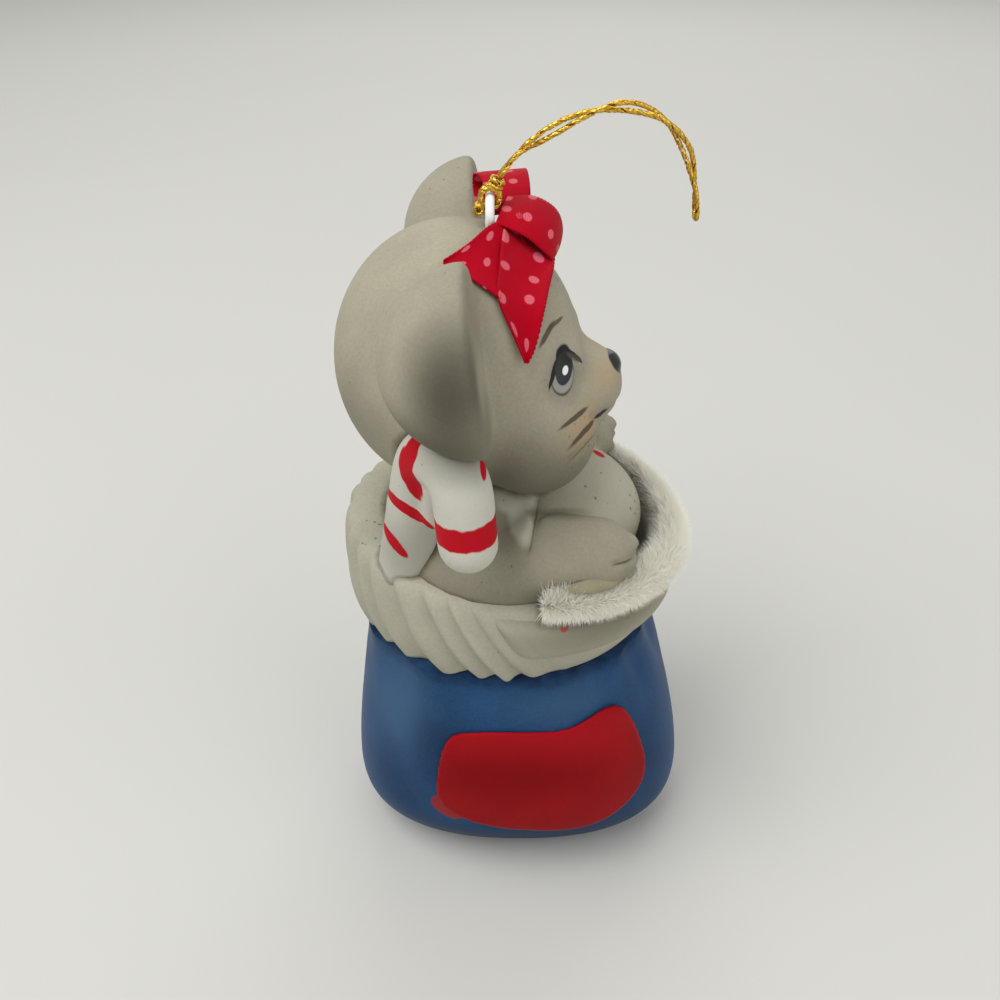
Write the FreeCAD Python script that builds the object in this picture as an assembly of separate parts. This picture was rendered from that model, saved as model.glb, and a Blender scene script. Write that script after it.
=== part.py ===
import FreeCAD, Part
import math
import os
from FreeCAD import Rotation, Vector

# A painted bisque mouse that sits in a sack, with a bow and a gold cord to hang it by.
# X points the way the mouse looks, Y to its left and Z up, from the middle of the sack's foot.
# All lengths are in millimetres and all angles in degrees.

# Head, a hollow casting with two cheeks and a muzzle
head_radius = 17.3
head_half_x = 15.9
head_x = -8.7
head_sink = 5.1
head_wall = 2.5
neck_bore = 12.0
cheek_radius = 8.3
cheek_half_y = 9.0
cheek_forward = 9.4
cheek_apart = 7.0
cheek_drop = 7.2
muzzle_radius = 6.5
muzzle_half_z = 5.3
muzzle_forward = 15.0
muzzle_drop = 3.7

# Torso, a hollow casting as wide as the head, that stands in the collar
torso_radius = head_radius
torso_half_z = 16.0
torso_x = -3.0
torso_rise = 10.5
torso_wall = 2.5

# Sack, a hollow casting that is open at its neck
sack_height = 44.5
belly_half_x = 26.4
belly_half_y = 20.6
neck_room_x = 3.7
neck_room_y = 2.3
neck_half_x = torso_radius + neck_room_x
neck_half_y = torso_radius + neck_room_y
neck_shift = -2.2
sack_power = 2.35
sack_wall = 2.6
sack_floor = 3.0
vent_bore = 3.2
vent_setback = 6.0
# Rows of height, then of half width along X and Y, as shares of the height and of the belly
sack_row_shares = (
    (0.00, 0.67, 0.54),
    (0.02, 0.79, 0.64),
    (0.07, 0.90, 0.735),
    (0.14, 0.975, 0.85),
    (0.24, 1.00, 0.96),
    (0.36, 0.99, 1.00),
    (0.50, 0.955, 1.01),
    (0.64, 0.91, 1.00),
    (0.78, 0.86, 0.985),
    (0.90, 0.815, 0.965),
)
sack_ring_points = 36

# Raised patch on the sack's right side
patch_centre_x = 3.0
patch_centre_z = 24.3
patch_half_x = 15.8
patch_half_z = 12.0
patch_proud = 0.7
patch_outline_shares = (
    (-0.72, 0.78),
    (-0.03, 0.83),
    (0.28, 0.86),
    (0.56, 1.00),
    (0.94, 0.25),
    (0.99, -0.50),
    (0.62, -0.96),
    (-0.08, -1.00),
    (-0.66, -0.84),
    (-0.96, -0.56),
    (-0.98, 0.02),
)

# Collar, the gathered mouth of the sack
collar_height = 12.4
collar_tilt = 7.5
rim_flare_x = 1.2
rim_flare_y = 1.7
rim_half_x = neck_half_x + rim_flare_x
rim_half_y = neck_half_y + rim_flare_y
collar_bulge = 1.3
collar_overhang = 0.2
# Rows of height up the collar and of its swell, as shares of its height and of the bulge
collar_row_shares = (
    (0.00, 0.00),
    (0.22, 0.75),
    (0.48, 1.00),
    (0.76, 0.70),
    (0.93, 0.25),
    (1.00, -0.75),
)
flute_count = 36
flute_rise = 0.55
flute_slant = 20.0
flute_end = 96.0
flute_fade = 14.0
points_per_flute = 6
trough_room_x = 1.7
trough_room_y = 0.4
trough_half_x = torso_radius + trough_room_x
trough_half_y = torso_radius + trough_room_y
trough_depth = 5.0

# Smooth hem that closes the collar in front
hem_proud = 1.1
hem_start_x = -2.4
# Rows of height up the collar, of its swell there and of the hem's proud height
hem_row_shares = (
    (0.47, 1.00, 0.20),
    (0.58, 0.94, 1.00),
    (0.78, 0.66, 1.00),
    (0.91, 0.30, 0.50),
)
hem_ring_points = 40

# Ears, cups that open forward
ear_radius = 10.6
ear_depth = 10.8
ear_wall = 2.3
ear_side_room = 2.1
ear_apart = head_radius + ear_side_room
ear_rise = 8.9
ear_forward = 3.0
ear_lean = 8.0

# Arms that lie forward on the sack's rim
elbow_radius = 5.3
hand_radius = 4.5
elbow_forward = 6.0
elbow_inset = 1.7
elbow_apart = torso_radius - elbow_inset
elbow_rise = 7.4
hand_forward = 13.2
hand_inset = 2.7
hand_apart = torso_radius - hand_inset
hand_rise = 7.0

# Candy cane at the mouse's right side
cane_radius = 3.6
cane_back_inset = 4.4
cane_side_inset = 5.5
cane_foot_rise = 1.2
cane_turn = -54.5
cane_shaft_run = 6.2
cane_top_drop = 3.8
cane_top_run = 8.3
cane_tip_run = 0.9
cane_tip_drop = 10.9
cane_tip_round = 3.0
cane_arc_share = 0.49

# Hanging eye on the crown of the head
eye_radius = 1.9
eye_wire = 0.55
eye_forward = 4.3
eye_rise = 2.1

# Chenille trim on the collar's front rim, a pile round a core of wire
trim_inset = 0.8
trim_radius = rim_half_x - trim_inset
trim_centre_x = 0.4
trim_pile = 2.4
trim_sink = 0.5
trim_sweep = 85.0
trim_core = 0.45
trim_clearance = 0.15
glue_half_length = 4.2
glue_radius = 1.6
glue_turn = -68.0
glue_inset = 1.0
glue_climb = 2.3

# Ribbon bow on the brow, glued in front of the hanging eye
ribbon_width = 6.2
ribbon_thick = 0.45
ribbon_lift = 0.3
bow_clearance = 0.2
knot_radius = 1.6
knot_half_y = 2.3
knot_forward = 7.6
knot_rise = 2.2
bow_glue_radius = 1.3
bow_glue_height = 1.2
# Rows of reach from the knot and of rise above it
front_loop_reach = 6.2
front_loop_rise = 4.6
front_loop_turn = -8.0
front_loop_shares = (
    (-0.08, 0.44),
    (0.12, 0.54),
    (0.36, 0.46),
    (0.66, 0.12),
    (0.86, -0.36),
    (0.79, -0.64),
    (0.55, -0.46),
    (0.24, -0.16),
)
far_loop_reach = 9.6
far_loop_rise = 4.6
far_loop_turn = 98.0
far_loop_shares = (
    (0.20, 0.16),
    (0.42, 0.52),
    (0.70, 0.88),
    (0.93, 0.76),
    (0.97, 0.42),
    (0.78, 0.16),
    (0.48, 0.02),
    (0.20, -0.14),
)
loop_steps = 24
# Rows of reach and half width of the loops seen from above, pinched at the knot
loop_plan_shares = (
    (-0.30, 0.34),
    (0.12, 0.40),
    (0.52, 0.50),
    (1.20, 0.50),
)
wing_lift = 1.2
wing_thick = 0.9
# Rows of forward and outward place on the head, as shares of its half widths, and of the width
wing_row_shares = (
    (0.35, 0.38, 1.80),
    (0.24, 0.42, 1.40),
    (0.09, 0.47, 0.80),
    (-0.05, 0.50, 0.20),
)
tail_row_shares = (
    (0.56, 0.08, 1.12),
    (0.55, 0.26, 1.08),
    (0.53, 0.45, 0.98),
    (0.50, 0.63, 0.88),
    (0.50, 0.73, 0.50),
    (0.50, 0.80, 0.10),
)

# Gold cord, tied to the hanging eye in a cow hitch and doubled in a loop
cord_diameter = 0.8
hitch_turn_radius = 1.15
hitch_turn_apart = 0.55
hitch_bar_reach = 1.3
hitch_bar_drop = 1.4
hitch_bar_radius = 0.7
hitch_bar_half = 0.8
hitch_neck_radius = 1.1
hitch_neck_start = 1.2
hitch_neck_end = 2.6
hitch_neck_angle = 64.0
cord_arc_share = 0.45
# Hand-chosen points of the cord's route from the hitch round the loop and back, measured from
# the middle of the hanging eye's top bar
cord_route = (
    (1.14, 0.55, 2.34),
    (2.75, 0.62, 4.80),
    (6.90, 0.00, 6.80),
    (11.10, -0.62, 9.60),
    (15.70, 0.00, 11.20),
    (20.10, 0.62, 9.00),
    (22.50, 0.05, 5.10),
    (24.10, -0.80, 1.30),
    (24.50, -0.95, -0.70),
    (24.60, -0.95, -2.50),
    (24.60, 0.95, -2.50),
    (24.55, 0.95, -0.60),
    (24.20, 0.80, 1.40),
    (23.45, -0.05, 5.70),
    (20.05, -0.62, 9.10),
    (15.80, 0.00, 9.90),
    (11.00, 0.62, 9.75),
    (6.30, 0.00, 7.90),
    (2.70, -0.62, 4.90),
    (1.14, -0.55, 2.34),
)

# How far a cutting tool runs past the thing that it cuts
overrun = 5.0

# Parts in which each ball is turned
gore_count = 3
gore_start = 45.0

# Places that follow from the sizes above
torso_centre = Vector(torso_x, 0, sack_height + torso_rise)
head_centre = Vector(head_x, 0, torso_centre.z + torso_half_z + head_radius - head_sink)


def cosine(angle):
    return math.cos(math.radians(angle))


def sine(angle):
    return math.sin(math.radians(angle))


def tangent(angle):
    return math.tan(math.radians(angle))


def superellipse(half_x, half_y, power, angle):
    """Point at an angle on an ellipse that is squared off by a power above 2."""
    reach = abs(cosine(angle) / half_x) ** power + abs(sine(angle) / half_y) ** power
    reach = reach ** (-1 / power)
    return reach * cosine(angle), reach * sine(angle)


def on_skull(forward, outward, lift):
    """Point a lift above the top of the skull, at a place forward of its middle and outward."""
    climb = math.sqrt(1 - (forward / head_half_x) ** 2 - (outward / head_radius) ** 2)
    place = Vector(forward, outward, climb * head_radius)
    square = Vector(place.x / head_half_x**2, place.y / head_radius**2, place.z / head_radius**2)
    return head_centre + place + square.normalize() * lift


eye_centre = on_skull(eye_forward, 0, 0) + Vector(0, 0, eye_rise)
pivot = eye_centre + Vector(0, 0, eye_radius)
knot_centre = on_skull(knot_forward, 0, 0) + Vector(0, 0, knot_rise)


def smooth_ring(points):
    """Closed smooth wire through points."""
    curve = Part.BSplineCurve()
    curve.interpolate(Points=points, PeriodicFlag=True)
    return Part.Wire([curve.toShape()])


def loft(rings):
    return Part.makeLoft(rings, True, False)


def spheroid(centre, axis, radius, half_length):
    """Ball that is round about an axis and longer or shorter along it."""
    middle = Vector(0, 0, 0)
    side = Vector(radius, 0, 0)
    top = Vector(0, 0, half_length)
    if half_length > radius:
        outline = Part.ArcOfEllipse(Part.Ellipse(top, side, middle), 0, math.pi)
    else:
        outline = Part.ArcOfEllipse(Part.Ellipse(side, top, middle), -math.pi / 2, math.pi / 2)
    face = Part.Face(Part.Wire([outline.toBSpline().toShape(), Part.makeLine(top, -top)]))
    ball = None
    for index in range(gore_count):
        gore = face.revolve(middle, Vector(0, 0, 1), 360 / gore_count)
        gore.rotate(middle, Vector(0, 0, 1), gore_start + 360 * index / gore_count)
        ball = ball.fuse(gore) if ball else gore
    turn = FreeCAD.Placement(centre, Rotation(Vector(0, 0, 1), axis))
    ball.Placement = turn.multiply(ball.Placement)
    return ball


def mirrored(shape):
    """The same shape on the other side of the mouse."""
    return shape.mirror(Vector(0, 0, 0), Vector(0, 1, 0))


def sack_ring(z, level, half_x, half_y):
    """Outline of the sack at a height, for its half widths there."""
    shift = neck_shift * level**2
    points = []
    for step in range(sack_ring_points):
        x, y = superellipse(half_x, half_y, sack_power, 360 * step / sack_ring_points)
        points.append(Vector(x + shift, y, z))
    return smooth_ring(points)


def sack_rows():
    """Level and half widths of the sack's outline, from its foot to its neck."""
    rows = []
    for level, wide, deep in sack_row_shares:
        rows.append((level, belly_half_x * wide, belly_half_y * deep))
    rows.append((1, neck_half_x, neck_half_y))
    return rows


def sack_solid(proud):
    """The sack without its hollow, swollen by a proud height."""
    rings = []
    for level, half_x, half_y in sack_rows():
        rings.append(sack_ring(level * sack_height, level, half_x + proud, half_y + proud))
    return loft(rings)


def sack_hollow():
    """Space inside the sack, from its floor up through its neck."""
    rows = sack_rows()[2:]
    first = rows[0][0]
    rings = []
    for level, half_x, half_y in rows:
        climb = (level - first) / (1 - first)
        z = sack_floor + (sack_height - sack_floor) * climb
        wall = sack_wall * (1 + (1 - climb) ** 4)
        rings.append(sack_ring(z, level, half_x - wall, half_y - wall))
    return loft(rings)


def make_sack(outside):
    vent_place = Vector(-vent_setback, 0, -overrun)
    vent = Part.makeCylinder(vent_bore / 2, sack_floor + 2 * overrun, vent_place)
    return outside.cut(sack_hollow()).cut(vent)


def make_patch(outside):
    """Pad of even height on the sack's right side."""
    points = []
    for across, up in patch_outline_shares:
        x = patch_centre_x + across * patch_half_x
        points.append(Vector(x, 0, patch_centre_z + up * patch_half_z))
    face = Part.Face(smooth_ring(points))
    prism = face.extrude(Vector(0, -(belly_half_y + overrun), 0))
    return prism.common(sack_solid(patch_proud)).cut(outside)


def flute_height(from_back):
    """Height of the flutes at an angle from the back, where they are cut off in front."""
    fade = min(max((flute_end - from_back) / flute_fade, 0), 1)
    return flute_rise * fade * cosine(flute_count * from_back)


def collar_ring(share, swell, proud, fluted, count):
    """Outline of the collar at a share of its height, on a plane that tilts as it climbs."""
    half_x = neck_half_x + (rim_half_x - neck_half_x) * share + collar_bulge * swell
    half_y = neck_half_y + (rim_half_y - neck_half_y) * share + collar_bulge * swell
    slope = tangent(collar_tilt * share)
    points = []
    for step in range(count):
        turn = 360 * step / count
        from_back = min(turn, 360 - turn)
        rise = collar_overhang + proud
        if fluted:
            rise += flute_height(from_back)
        slanted = turn + flute_slant * (1 - share) * sine(turn)
        x, y = superellipse(half_x + rise, half_y + rise, 2, 180 + slanted)
        x += neck_shift
        points.append(Vector(x, y, sack_height + share * collar_height - slope * x))
    return smooth_ring(points)


def collar_solid():
    """The collar without its bore and trough."""
    rings = []
    for share, swell in collar_row_shares:
        rings.append(collar_ring(share, swell, 0, True, flute_count * points_per_flute))
    return loft(rings)


def rim_frame():
    """Placement of the rim's plane, with its own Z square to the rim."""
    turn = Rotation(Vector(0, 1, 0), collar_tilt)
    return FreeCAD.Placement(Vector(0, 0, sack_height + collar_height), turn)


def trim_ring(radius, sweep):
    """Round bar of a radius along the trim's line, for a sweep to each side of the front."""
    circle = Part.makeCircle(radius, Vector(trim_radius, 0, 0), Vector(0, 1, 0))
    face = Part.Face(Part.Wire([circle]))
    ring = face.revolve(Vector(0, 0, 0), Vector(0, 0, 1), 2 * sweep)
    ring.rotate(Vector(0, 0, 0), Vector(0, 0, 1), -sweep)
    ring.translate(Vector(trim_centre_x, 0, trim_pile - trim_sink))
    ring.Placement = rim_frame().multiply(ring.Placement)
    return ring


def trim_groove():
    """Seat of the trim in the rim, a clearance wider than the pile."""
    spare = math.degrees(trim_clearance / trim_radius)
    return trim_ring(trim_pile + trim_clearance, trim_sweep + spare)


def make_collar(outside, torso_outside):
    """Gathered collar with its bore for the torso and the trough in front of the chest."""
    floor = Vector(0, 0, -trough_depth)
    across = Vector(trough_half_x, 0, 0)
    outline = Part.Ellipse(floor + across, floor + Vector(0, trough_half_y, 0), floor)
    face = Part.Face(Part.Wire([outline.toShape()]))
    trough = face.extrude(Vector(0, 0, trough_depth + overrun))
    trough.Placement = rim_frame().multiply(trough.Placement)
    return outside.cut(torso_outside).cut(trough).cut(trim_groove())


def make_hem(collar_outside):
    """Smooth band that lies over the collar's front, from one side fold to the other."""
    rings = []
    for share, swell, proud in hem_row_shares:
        rings.append(collar_ring(share, swell, hem_proud * proud, False, hem_ring_points))
    band = loft(rings)
    reach = rim_half_x + collar_bulge + overrun
    corner = Vector(hem_start_x, -reach, 0)
    front = Part.makeBox(2 * reach, 2 * reach, sack_height + 2 * collar_height, corner)
    return band.common(front).cut(collar_outside).cut(trim_groove())


def torso_ball(inset):
    return spheroid(torso_centre, Vector(0, 0, 1), torso_radius - inset, torso_half_z - inset)


def make_torso(head_outside):
    """Hollow torso, open at the foot and seated against the head."""
    reach = 2 * torso_radius
    corner = Vector(torso_x - reach, -reach, sack_height)
    above = Part.makeBox(2 * reach, 2 * reach, 2 * torso_half_z, corner)
    return torso_ball(0).common(above).cut(torso_ball(torso_wall)).cut(head_outside)


def head_blob(inset):
    """The skull with its cheeks and muzzle, drawn in by an inset."""
    forward = Vector(1, 0, 0)
    blob = spheroid(head_centre, forward, head_radius - inset, head_half_x - inset)
    for side in (-1, 1):
        place = head_centre + Vector(cheek_forward, side * cheek_apart, -cheek_drop)
        cheek = spheroid(place, Vector(0, 1, 0), cheek_radius - inset, cheek_half_y - inset)
        blob = blob.fuse(cheek)
    place = head_centre + Vector(muzzle_forward, 0, -muzzle_drop)
    muzzle = spheroid(place, Vector(0, 0, 1), muzzle_radius - inset, muzzle_half_z - inset)
    return blob.fuse(muzzle)


def make_head(outside):
    """Hollow head, with a bore in its underside that joins the torso's hollow."""
    foot = Vector((head_centre.x + torso_centre.x) / 2, 0, torso_centre.z)
    bore = Part.makeCylinder(neck_bore / 2, head_centre.z - torso_centre.z, foot)
    return outside.cut(head_blob(head_wall)).cut(bore)


def ear_dome(inset):
    """Half of a ball that opens forward, drawn in by an inset."""
    ball = spheroid(Vector(0, 0, 0), Vector(1, 0, 0), ear_radius - inset, ear_depth - inset)
    reach = ear_radius + overrun
    corner = Vector(0, -reach, -reach)
    return ball.cut(Part.makeBox(reach, 2 * reach, 2 * reach, corner))


def make_ear(head_outside):
    """Right ear, a cup whose open side leans back at the top."""
    ear = ear_dome(0).cut(ear_dome(ear_wall))
    ear.rotate(Vector(0, 0, 0), Vector(0, 1, 0), -ear_lean)
    ear.translate(head_centre + Vector(ear_forward, -ear_apart, ear_rise))
    return ear.cut(head_outside)


def make_arm(torso_outside):
    """Right arm, a round-ended bar from the elbow to the hand, seated on the torso."""
    elbow = torso_centre + Vector(elbow_forward, -elbow_apart, elbow_rise)
    hand = torso_centre + Vector(hand_forward, -hand_apart, hand_rise)
    length = (hand - elbow).Length
    outline = [
        Part.Arc(
            Vector(-elbow_radius, 0, 0),
            Vector(-elbow_radius * cosine(45), 0, elbow_radius * sine(45)),
            Vector(0, 0, elbow_radius),
        ).toShape(),
        Part.makeLine(Vector(0, 0, elbow_radius), Vector(length, 0, hand_radius)),
        Part.Arc(
            Vector(length, 0, hand_radius),
            Vector(length + hand_radius * cosine(45), 0, hand_radius * sine(45)),
            Vector(length + hand_radius, 0, 0),
        ).toShape(),
        Part.makeLine(Vector(length + hand_radius, 0, 0), Vector(-elbow_radius, 0, 0)),
    ]
    arm = Part.Face(Part.Wire(outline)).revolve(Vector(0, 0, 0), Vector(1, 0, 0), 360)
    arm.Placement = FreeCAD.Placement(elbow, Rotation(Vector(1, 0, 0), hand - elbow))
    return arm.cut(torso_outside)


def bent_path(points, arc_share):
    """Straight runs joined by tangent arcs, with the arcs' radii."""
    edges = []
    radii = []
    start = points[0]
    for before, corner, after in zip(points, points[1:], points[2:]):
        back = before - corner
        ahead = after - corner
        half_turn = (math.pi - back.getAngle(ahead)) / 2
        reach = arc_share * min(back.Length, ahead.Length)
        back.normalize()
        ahead.normalize()
        first = corner + back * reach
        last = corner + ahead * reach
        radius = reach / math.tan(half_turn)
        middle = (back + ahead).normalize() * (radius / math.cos(half_turn) - radius)
        edges.append(Part.LineSegment(start, first).toShape())
        edges.append(Part.Arc(first, corner + middle, last).toShape())
        radii.append(radius)
        start = last
    edges.append(Part.LineSegment(start, points[-1]).toShape())
    return Part.Wire(edges), radii


def tube(points, radius, arc_share):
    """Round bar along a bent path, with the arcs' radii and its path's length."""
    path, radii = bent_path(points, arc_share)
    circle = Part.makeCircle(radius, points[0], points[1] - points[0])
    bar = path.makePipeShell([Part.Wire([circle])], True, False)
    return bar, radii, path.Length


def cane_points():
    """Foot, two top corners and tip of the cane, in one upright plane."""
    out = Vector(cosine(cane_turn), sine(cane_turn), 0)
    up = Vector(0, 0, 1)
    back = torso_radius - cane_back_inset
    aside = torso_radius - cane_side_inset
    foot = torso_centre + Vector(-back, -aside, cane_foot_rise)
    rise = head_centre.z - cane_top_drop - foot.z
    first = foot + out * cane_shaft_run + up * rise
    second = first + out * cane_top_run
    tip = second + out * cane_tip_run - up * cane_tip_drop
    return [foot, first, second, tip]


def make_cane(neighbours):
    """Hooked stick with a rounded tip, seated against the pieces it leans on."""
    points = cane_points()
    stick = tube(points, cane_radius, cane_arc_share)[0]
    edges = []
    for edge in stick.Edges:
        if (edge.CenterOfMass - points[-1]).Length < cane_radius / 2:
            edges.append(edge)
    stick = stick.makeFillet(cane_tip_round, edges)
    for neighbour in neighbours:
        stick = stick.cut(neighbour)
    return stick


def make_eye(head_outside):
    ring = Part.makeTorus(eye_radius, eye_wire, eye_centre, Vector(1, 0, 0))
    return ring.cut(head_outside)


def make_trim(arms):
    """Pile with a hole for its core, pressed back where the arms lie on it."""
    pile = trim_ring(trim_pile, trim_sweep).cut(trim_ring(trim_core, trim_sweep))
    for arm in arms:
        pile = pile.cut(arm)
    return pile


def make_glue(trim, neighbours):
    """Bead of glue where the trim meets the right arm."""
    reach = trim_radius - glue_inset
    middle = Vector(trim_centre_x, 0, trim_pile - trim_sink + glue_climb)
    place = middle + Vector(reach * cosine(glue_turn), reach * sine(glue_turn), 0)
    along = Vector(-sine(glue_turn), cosine(glue_turn), 0)
    bead = spheroid(rim_frame().multVec(place), along, glue_radius, glue_half_length)
    for neighbour in [trim] + neighbours:
        bead = bead.cut(neighbour)
    return bead


def strip(centres, acrosses, widths, thickness):
    """Flat strip through centres, with its width along the given directions."""
    rings = []
    for index, centre in enumerate(centres):
        before = centres[max(index - 1, 0)]
        after = centres[min(index + 1, len(centres) - 1)]
        half = acrosses[index] * (widths[index] / 2)
        up = (after - before).cross(half).normalize() * (thickness / 2)
        corners = [centre - half - up, centre + half - up, centre + half + up, centre - half + up]
        rings.append(Part.makePolygon(corners + corners[:1]))
    return loft(rings)


def loop_plan(reach):
    """Prism over a loop's outline as it is seen from above."""
    points = []
    for along, half in loop_plan_shares:
        points.append(Vector(along * reach, half * ribbon_width, -overrun))
    for along, half in reversed(loop_plan_shares):
        points.append(Vector(along * reach, -half * ribbon_width, -overrun))
    face = Part.Face(Part.makePolygon(points + points[:1]))
    return face.extrude(Vector(0, 0, 2 * overrun))


def smooth_line(points):
    curve = Part.BSplineCurve()
    curve.interpolate(Points=points)
    return curve


def bow_loop(shares, reach, rise, turn):
    """Loop of ribbon that leaves the knot in the direction of a turn."""
    across = Vector(0, ribbon_width, 0)
    curve = smooth_line([Vector(along * reach, 0, up * rise) for along, up in shares])
    above = []
    below = []
    for step in range(loop_steps + 1):
        parameter = curve.FirstParameter + (curve.LastParameter - curve.FirstParameter) * step / loop_steps
        place = curve.value(parameter) - across / 2
        half = curve.tangent(parameter)[0].cross(across).normalize() * (ribbon_thick / 2)
        above.append(place + half)
        below.append(place - half)
    outline = [
        smooth_line(above).toShape(),
        Part.makeLine(above[-1], below[-1]),
        smooth_line(below[::-1]).toShape(),
        Part.makeLine(below[0], above[0]),
    ]
    loop = Part.Face(Part.Wire(outline)).extrude(across).common(loop_plan(reach))
    loop.Placement = FreeCAD.Placement(knot_centre, Rotation(Vector(0, 0, 1), turn))
    return loop


def draped(rows, lift, thickness, side):
    """Strip that lies on the head, a lift above it, with its width square to its run."""
    centres = []
    widths = []
    for forward, outward, width in rows:
        aside = side * outward * head_radius
        centres.append(on_skull(forward * head_half_x, aside, lift + thickness / 2))
        widths.append(width * ribbon_width)
    acrosses = []
    for index, centre in enumerate(centres):
        before = centres[max(index - 1, 0)]
        after = centres[min(index + 1, len(centres) - 1)]
        acrosses.append((centre - head_centre).cross(after - before).normalize())
    return strip(centres, acrosses, widths, thickness)


def make_bow(head_outside):
    """Knot, loops, wing, tails and the glue under them, each clear of the eye and of the last."""
    pad = Part.makeCylinder(bow_glue_radius, bow_glue_height + overrun, knot_centre, Vector(0, 0, -1))
    knot = spheroid(knot_centre, Vector(0, 1, 0), knot_radius, knot_half_y)
    pieces = {
        "bow_knot": knot,
        "bow_near_tail": draped(tail_row_shares, ribbon_lift, ribbon_thick, -1),
        "bow_far_tail": draped(tail_row_shares, ribbon_lift, ribbon_thick, 1),
        "bow_near_wing": draped(wing_row_shares, wing_lift, wing_thick, -1),
        "bow_front_loop": bow_loop(front_loop_shares, front_loop_reach, front_loop_rise, front_loop_turn),
        "bow_far_loop": bow_loop(far_loop_shares, far_loop_reach, far_loop_rise, far_loop_turn),
        "bow_glue": pad,
    }
    wire_room = Part.makeTorus(eye_radius, eye_wire + bow_clearance, eye_centre, Vector(1, 0, 0))
    done = {}
    for name, piece in pieces.items():
        piece = piece.cut(head_outside).cut(wire_room)
        for earlier in done.values():
            piece = piece.cut(earlier)
        done[name] = largest(piece)
    return done


def largest(shape):
    """The biggest solid of a shape that a cut has left in several."""
    return max(shape.Solids, key=lambda solid: solid.Volume)


def make_hitch():
    """Two turns round the eye's top bar, the bar of cord behind them and the gathered neck."""
    across = Vector(0, 1, 0)
    hitch = None
    for side in (-1, 1):
        place = pivot + across * (side * hitch_turn_apart)
        turn = Part.makeTorus(hitch_turn_radius, cord_diameter / 2, place, across)
        hitch = hitch.fuse(turn) if hitch else turn
    start = pivot + Vector(-hitch_bar_reach, -hitch_bar_half, -hitch_bar_drop)
    bar = Part.makeCylinder(hitch_bar_radius, 2 * hitch_bar_half, start, across)
    out = Vector(cosine(hitch_neck_angle), 0, sine(hitch_neck_angle))
    length = hitch_neck_end - hitch_neck_start
    neck = Part.makeCylinder(hitch_neck_radius, length, pivot + out * hitch_neck_start, out)
    return hitch.fuse(bar).fuse(neck)


def make_cord(hitch):
    """Doubled cord from the hitch's neck to the far end of the loop and back."""
    points = [pivot + Vector(*place) for place in cord_route]
    cord, radii, length = tube(points, cord_diameter / 2, cord_arc_share)
    section = math.pi * cord_diameter**2 / 4
    print("cord radii", [round(radius, 1) for radius in radii])
    print("cord volume", round(cord.Volume, 2), "section times length", round(section * length, 2))
    print("cord length", round(length, 1))
    return cord.cut(hitch)


def make_all():
    """Every piece of the ornament by its name."""
    sack_outside = sack_solid(0)
    collar_outside = collar_solid()
    torso_outside = torso_ball(0)
    head_outside = head_blob(0)
    collar = make_collar(collar_outside, torso_outside)
    right_ear = largest(make_ear(head_outside))
    right_arm = largest(make_arm(torso_outside))
    left_arm = mirrored(right_arm)
    trim = make_trim([right_arm, left_arm])
    hitch = make_hitch()
    parts = {
        "sack_body": make_sack(sack_outside),
        "sack_patch": make_patch(sack_outside),
        "sack_collar": collar,
        "collar_hem": make_hem(collar_outside),
        "mouse_torso": make_torso(head_outside),
        "mouse_head": make_head(head_outside),
        "right_ear": right_ear,
        "left_ear": mirrored(right_ear),
        "right_arm": right_arm,
        "left_arm": left_arm,
        "candy_cane": make_cane([torso_outside, head_outside, collar, right_ear]),
        "hanging_eye": make_eye(head_outside),
        "trim_wire": trim_ring(trim_core, trim_sweep),
        "chenille_trim": trim,
        "glue_bead": make_glue(trim, [right_arm, torso_outside, collar]),
        "cord_hitch": hitch,
        "hanging_cord": make_cord(hitch),
    }
    parts.update(make_bow(head_outside))
    return parts


os.makedirs("parts", exist_ok=True)
for name, shape in make_all().items():
    count = len(shape.Solids)
    print(name, "solids", count, "valid", shape.isValid(), "volume", round(shape.Volume, 2))
    shape.exportStep("parts/" + name + ".step")
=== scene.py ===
"""Dresses the frame of a painted bisque mouse ornament, with one operator for each group of pieces."""

import math
import random

import bmesh
import bpy
from mathutils import Euler, Matrix, Vector, noise
from mathutils.bvhtree import BVHTree


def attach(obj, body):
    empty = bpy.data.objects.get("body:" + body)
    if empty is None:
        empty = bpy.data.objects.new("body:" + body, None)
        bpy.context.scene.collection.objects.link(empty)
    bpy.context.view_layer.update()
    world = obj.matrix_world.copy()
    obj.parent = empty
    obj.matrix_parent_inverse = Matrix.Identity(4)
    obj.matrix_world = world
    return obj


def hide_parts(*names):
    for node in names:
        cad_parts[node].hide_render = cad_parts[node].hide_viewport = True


bl_info = {
    "name": "Mouse Ornament",
    "version": (1, 0, 0),
    "blender": (4, 5, 0),
    "location": "3D View > Sidebar > Ornament",
    "description": "Builds the visible pieces of a painted mouse ornament round its frame",
    "category": "Object",
}

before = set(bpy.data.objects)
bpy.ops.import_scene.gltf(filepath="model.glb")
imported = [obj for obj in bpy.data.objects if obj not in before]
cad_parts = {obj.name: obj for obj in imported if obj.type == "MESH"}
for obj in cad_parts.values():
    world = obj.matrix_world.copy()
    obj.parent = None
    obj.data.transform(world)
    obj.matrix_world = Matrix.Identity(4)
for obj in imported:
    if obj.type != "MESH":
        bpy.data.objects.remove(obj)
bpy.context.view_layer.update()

MM = 0.001
MOUSE = "mouse"
CORD_LOOP = "cord_loop"
# Millimetres within which a neighbour darkens a casting with dust and painted shade
SEAM_REACH = 1.6


def mm(x, y, z):
    """Point given in millimetres."""
    return Vector((x, y, z)) * MM


def painted(red, green, blue):
    """Linear colour of a paint that is seen as the given shade, each part from 0 to 255."""
    parts = []
    for part in (red, green, blue):
        share = part / 255
        parts.append(share / 12.92 if share <= 0.04045 else ((share + 0.055) / 1.055) ** 2.4)
    return (*parts, 1.0)


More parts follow.
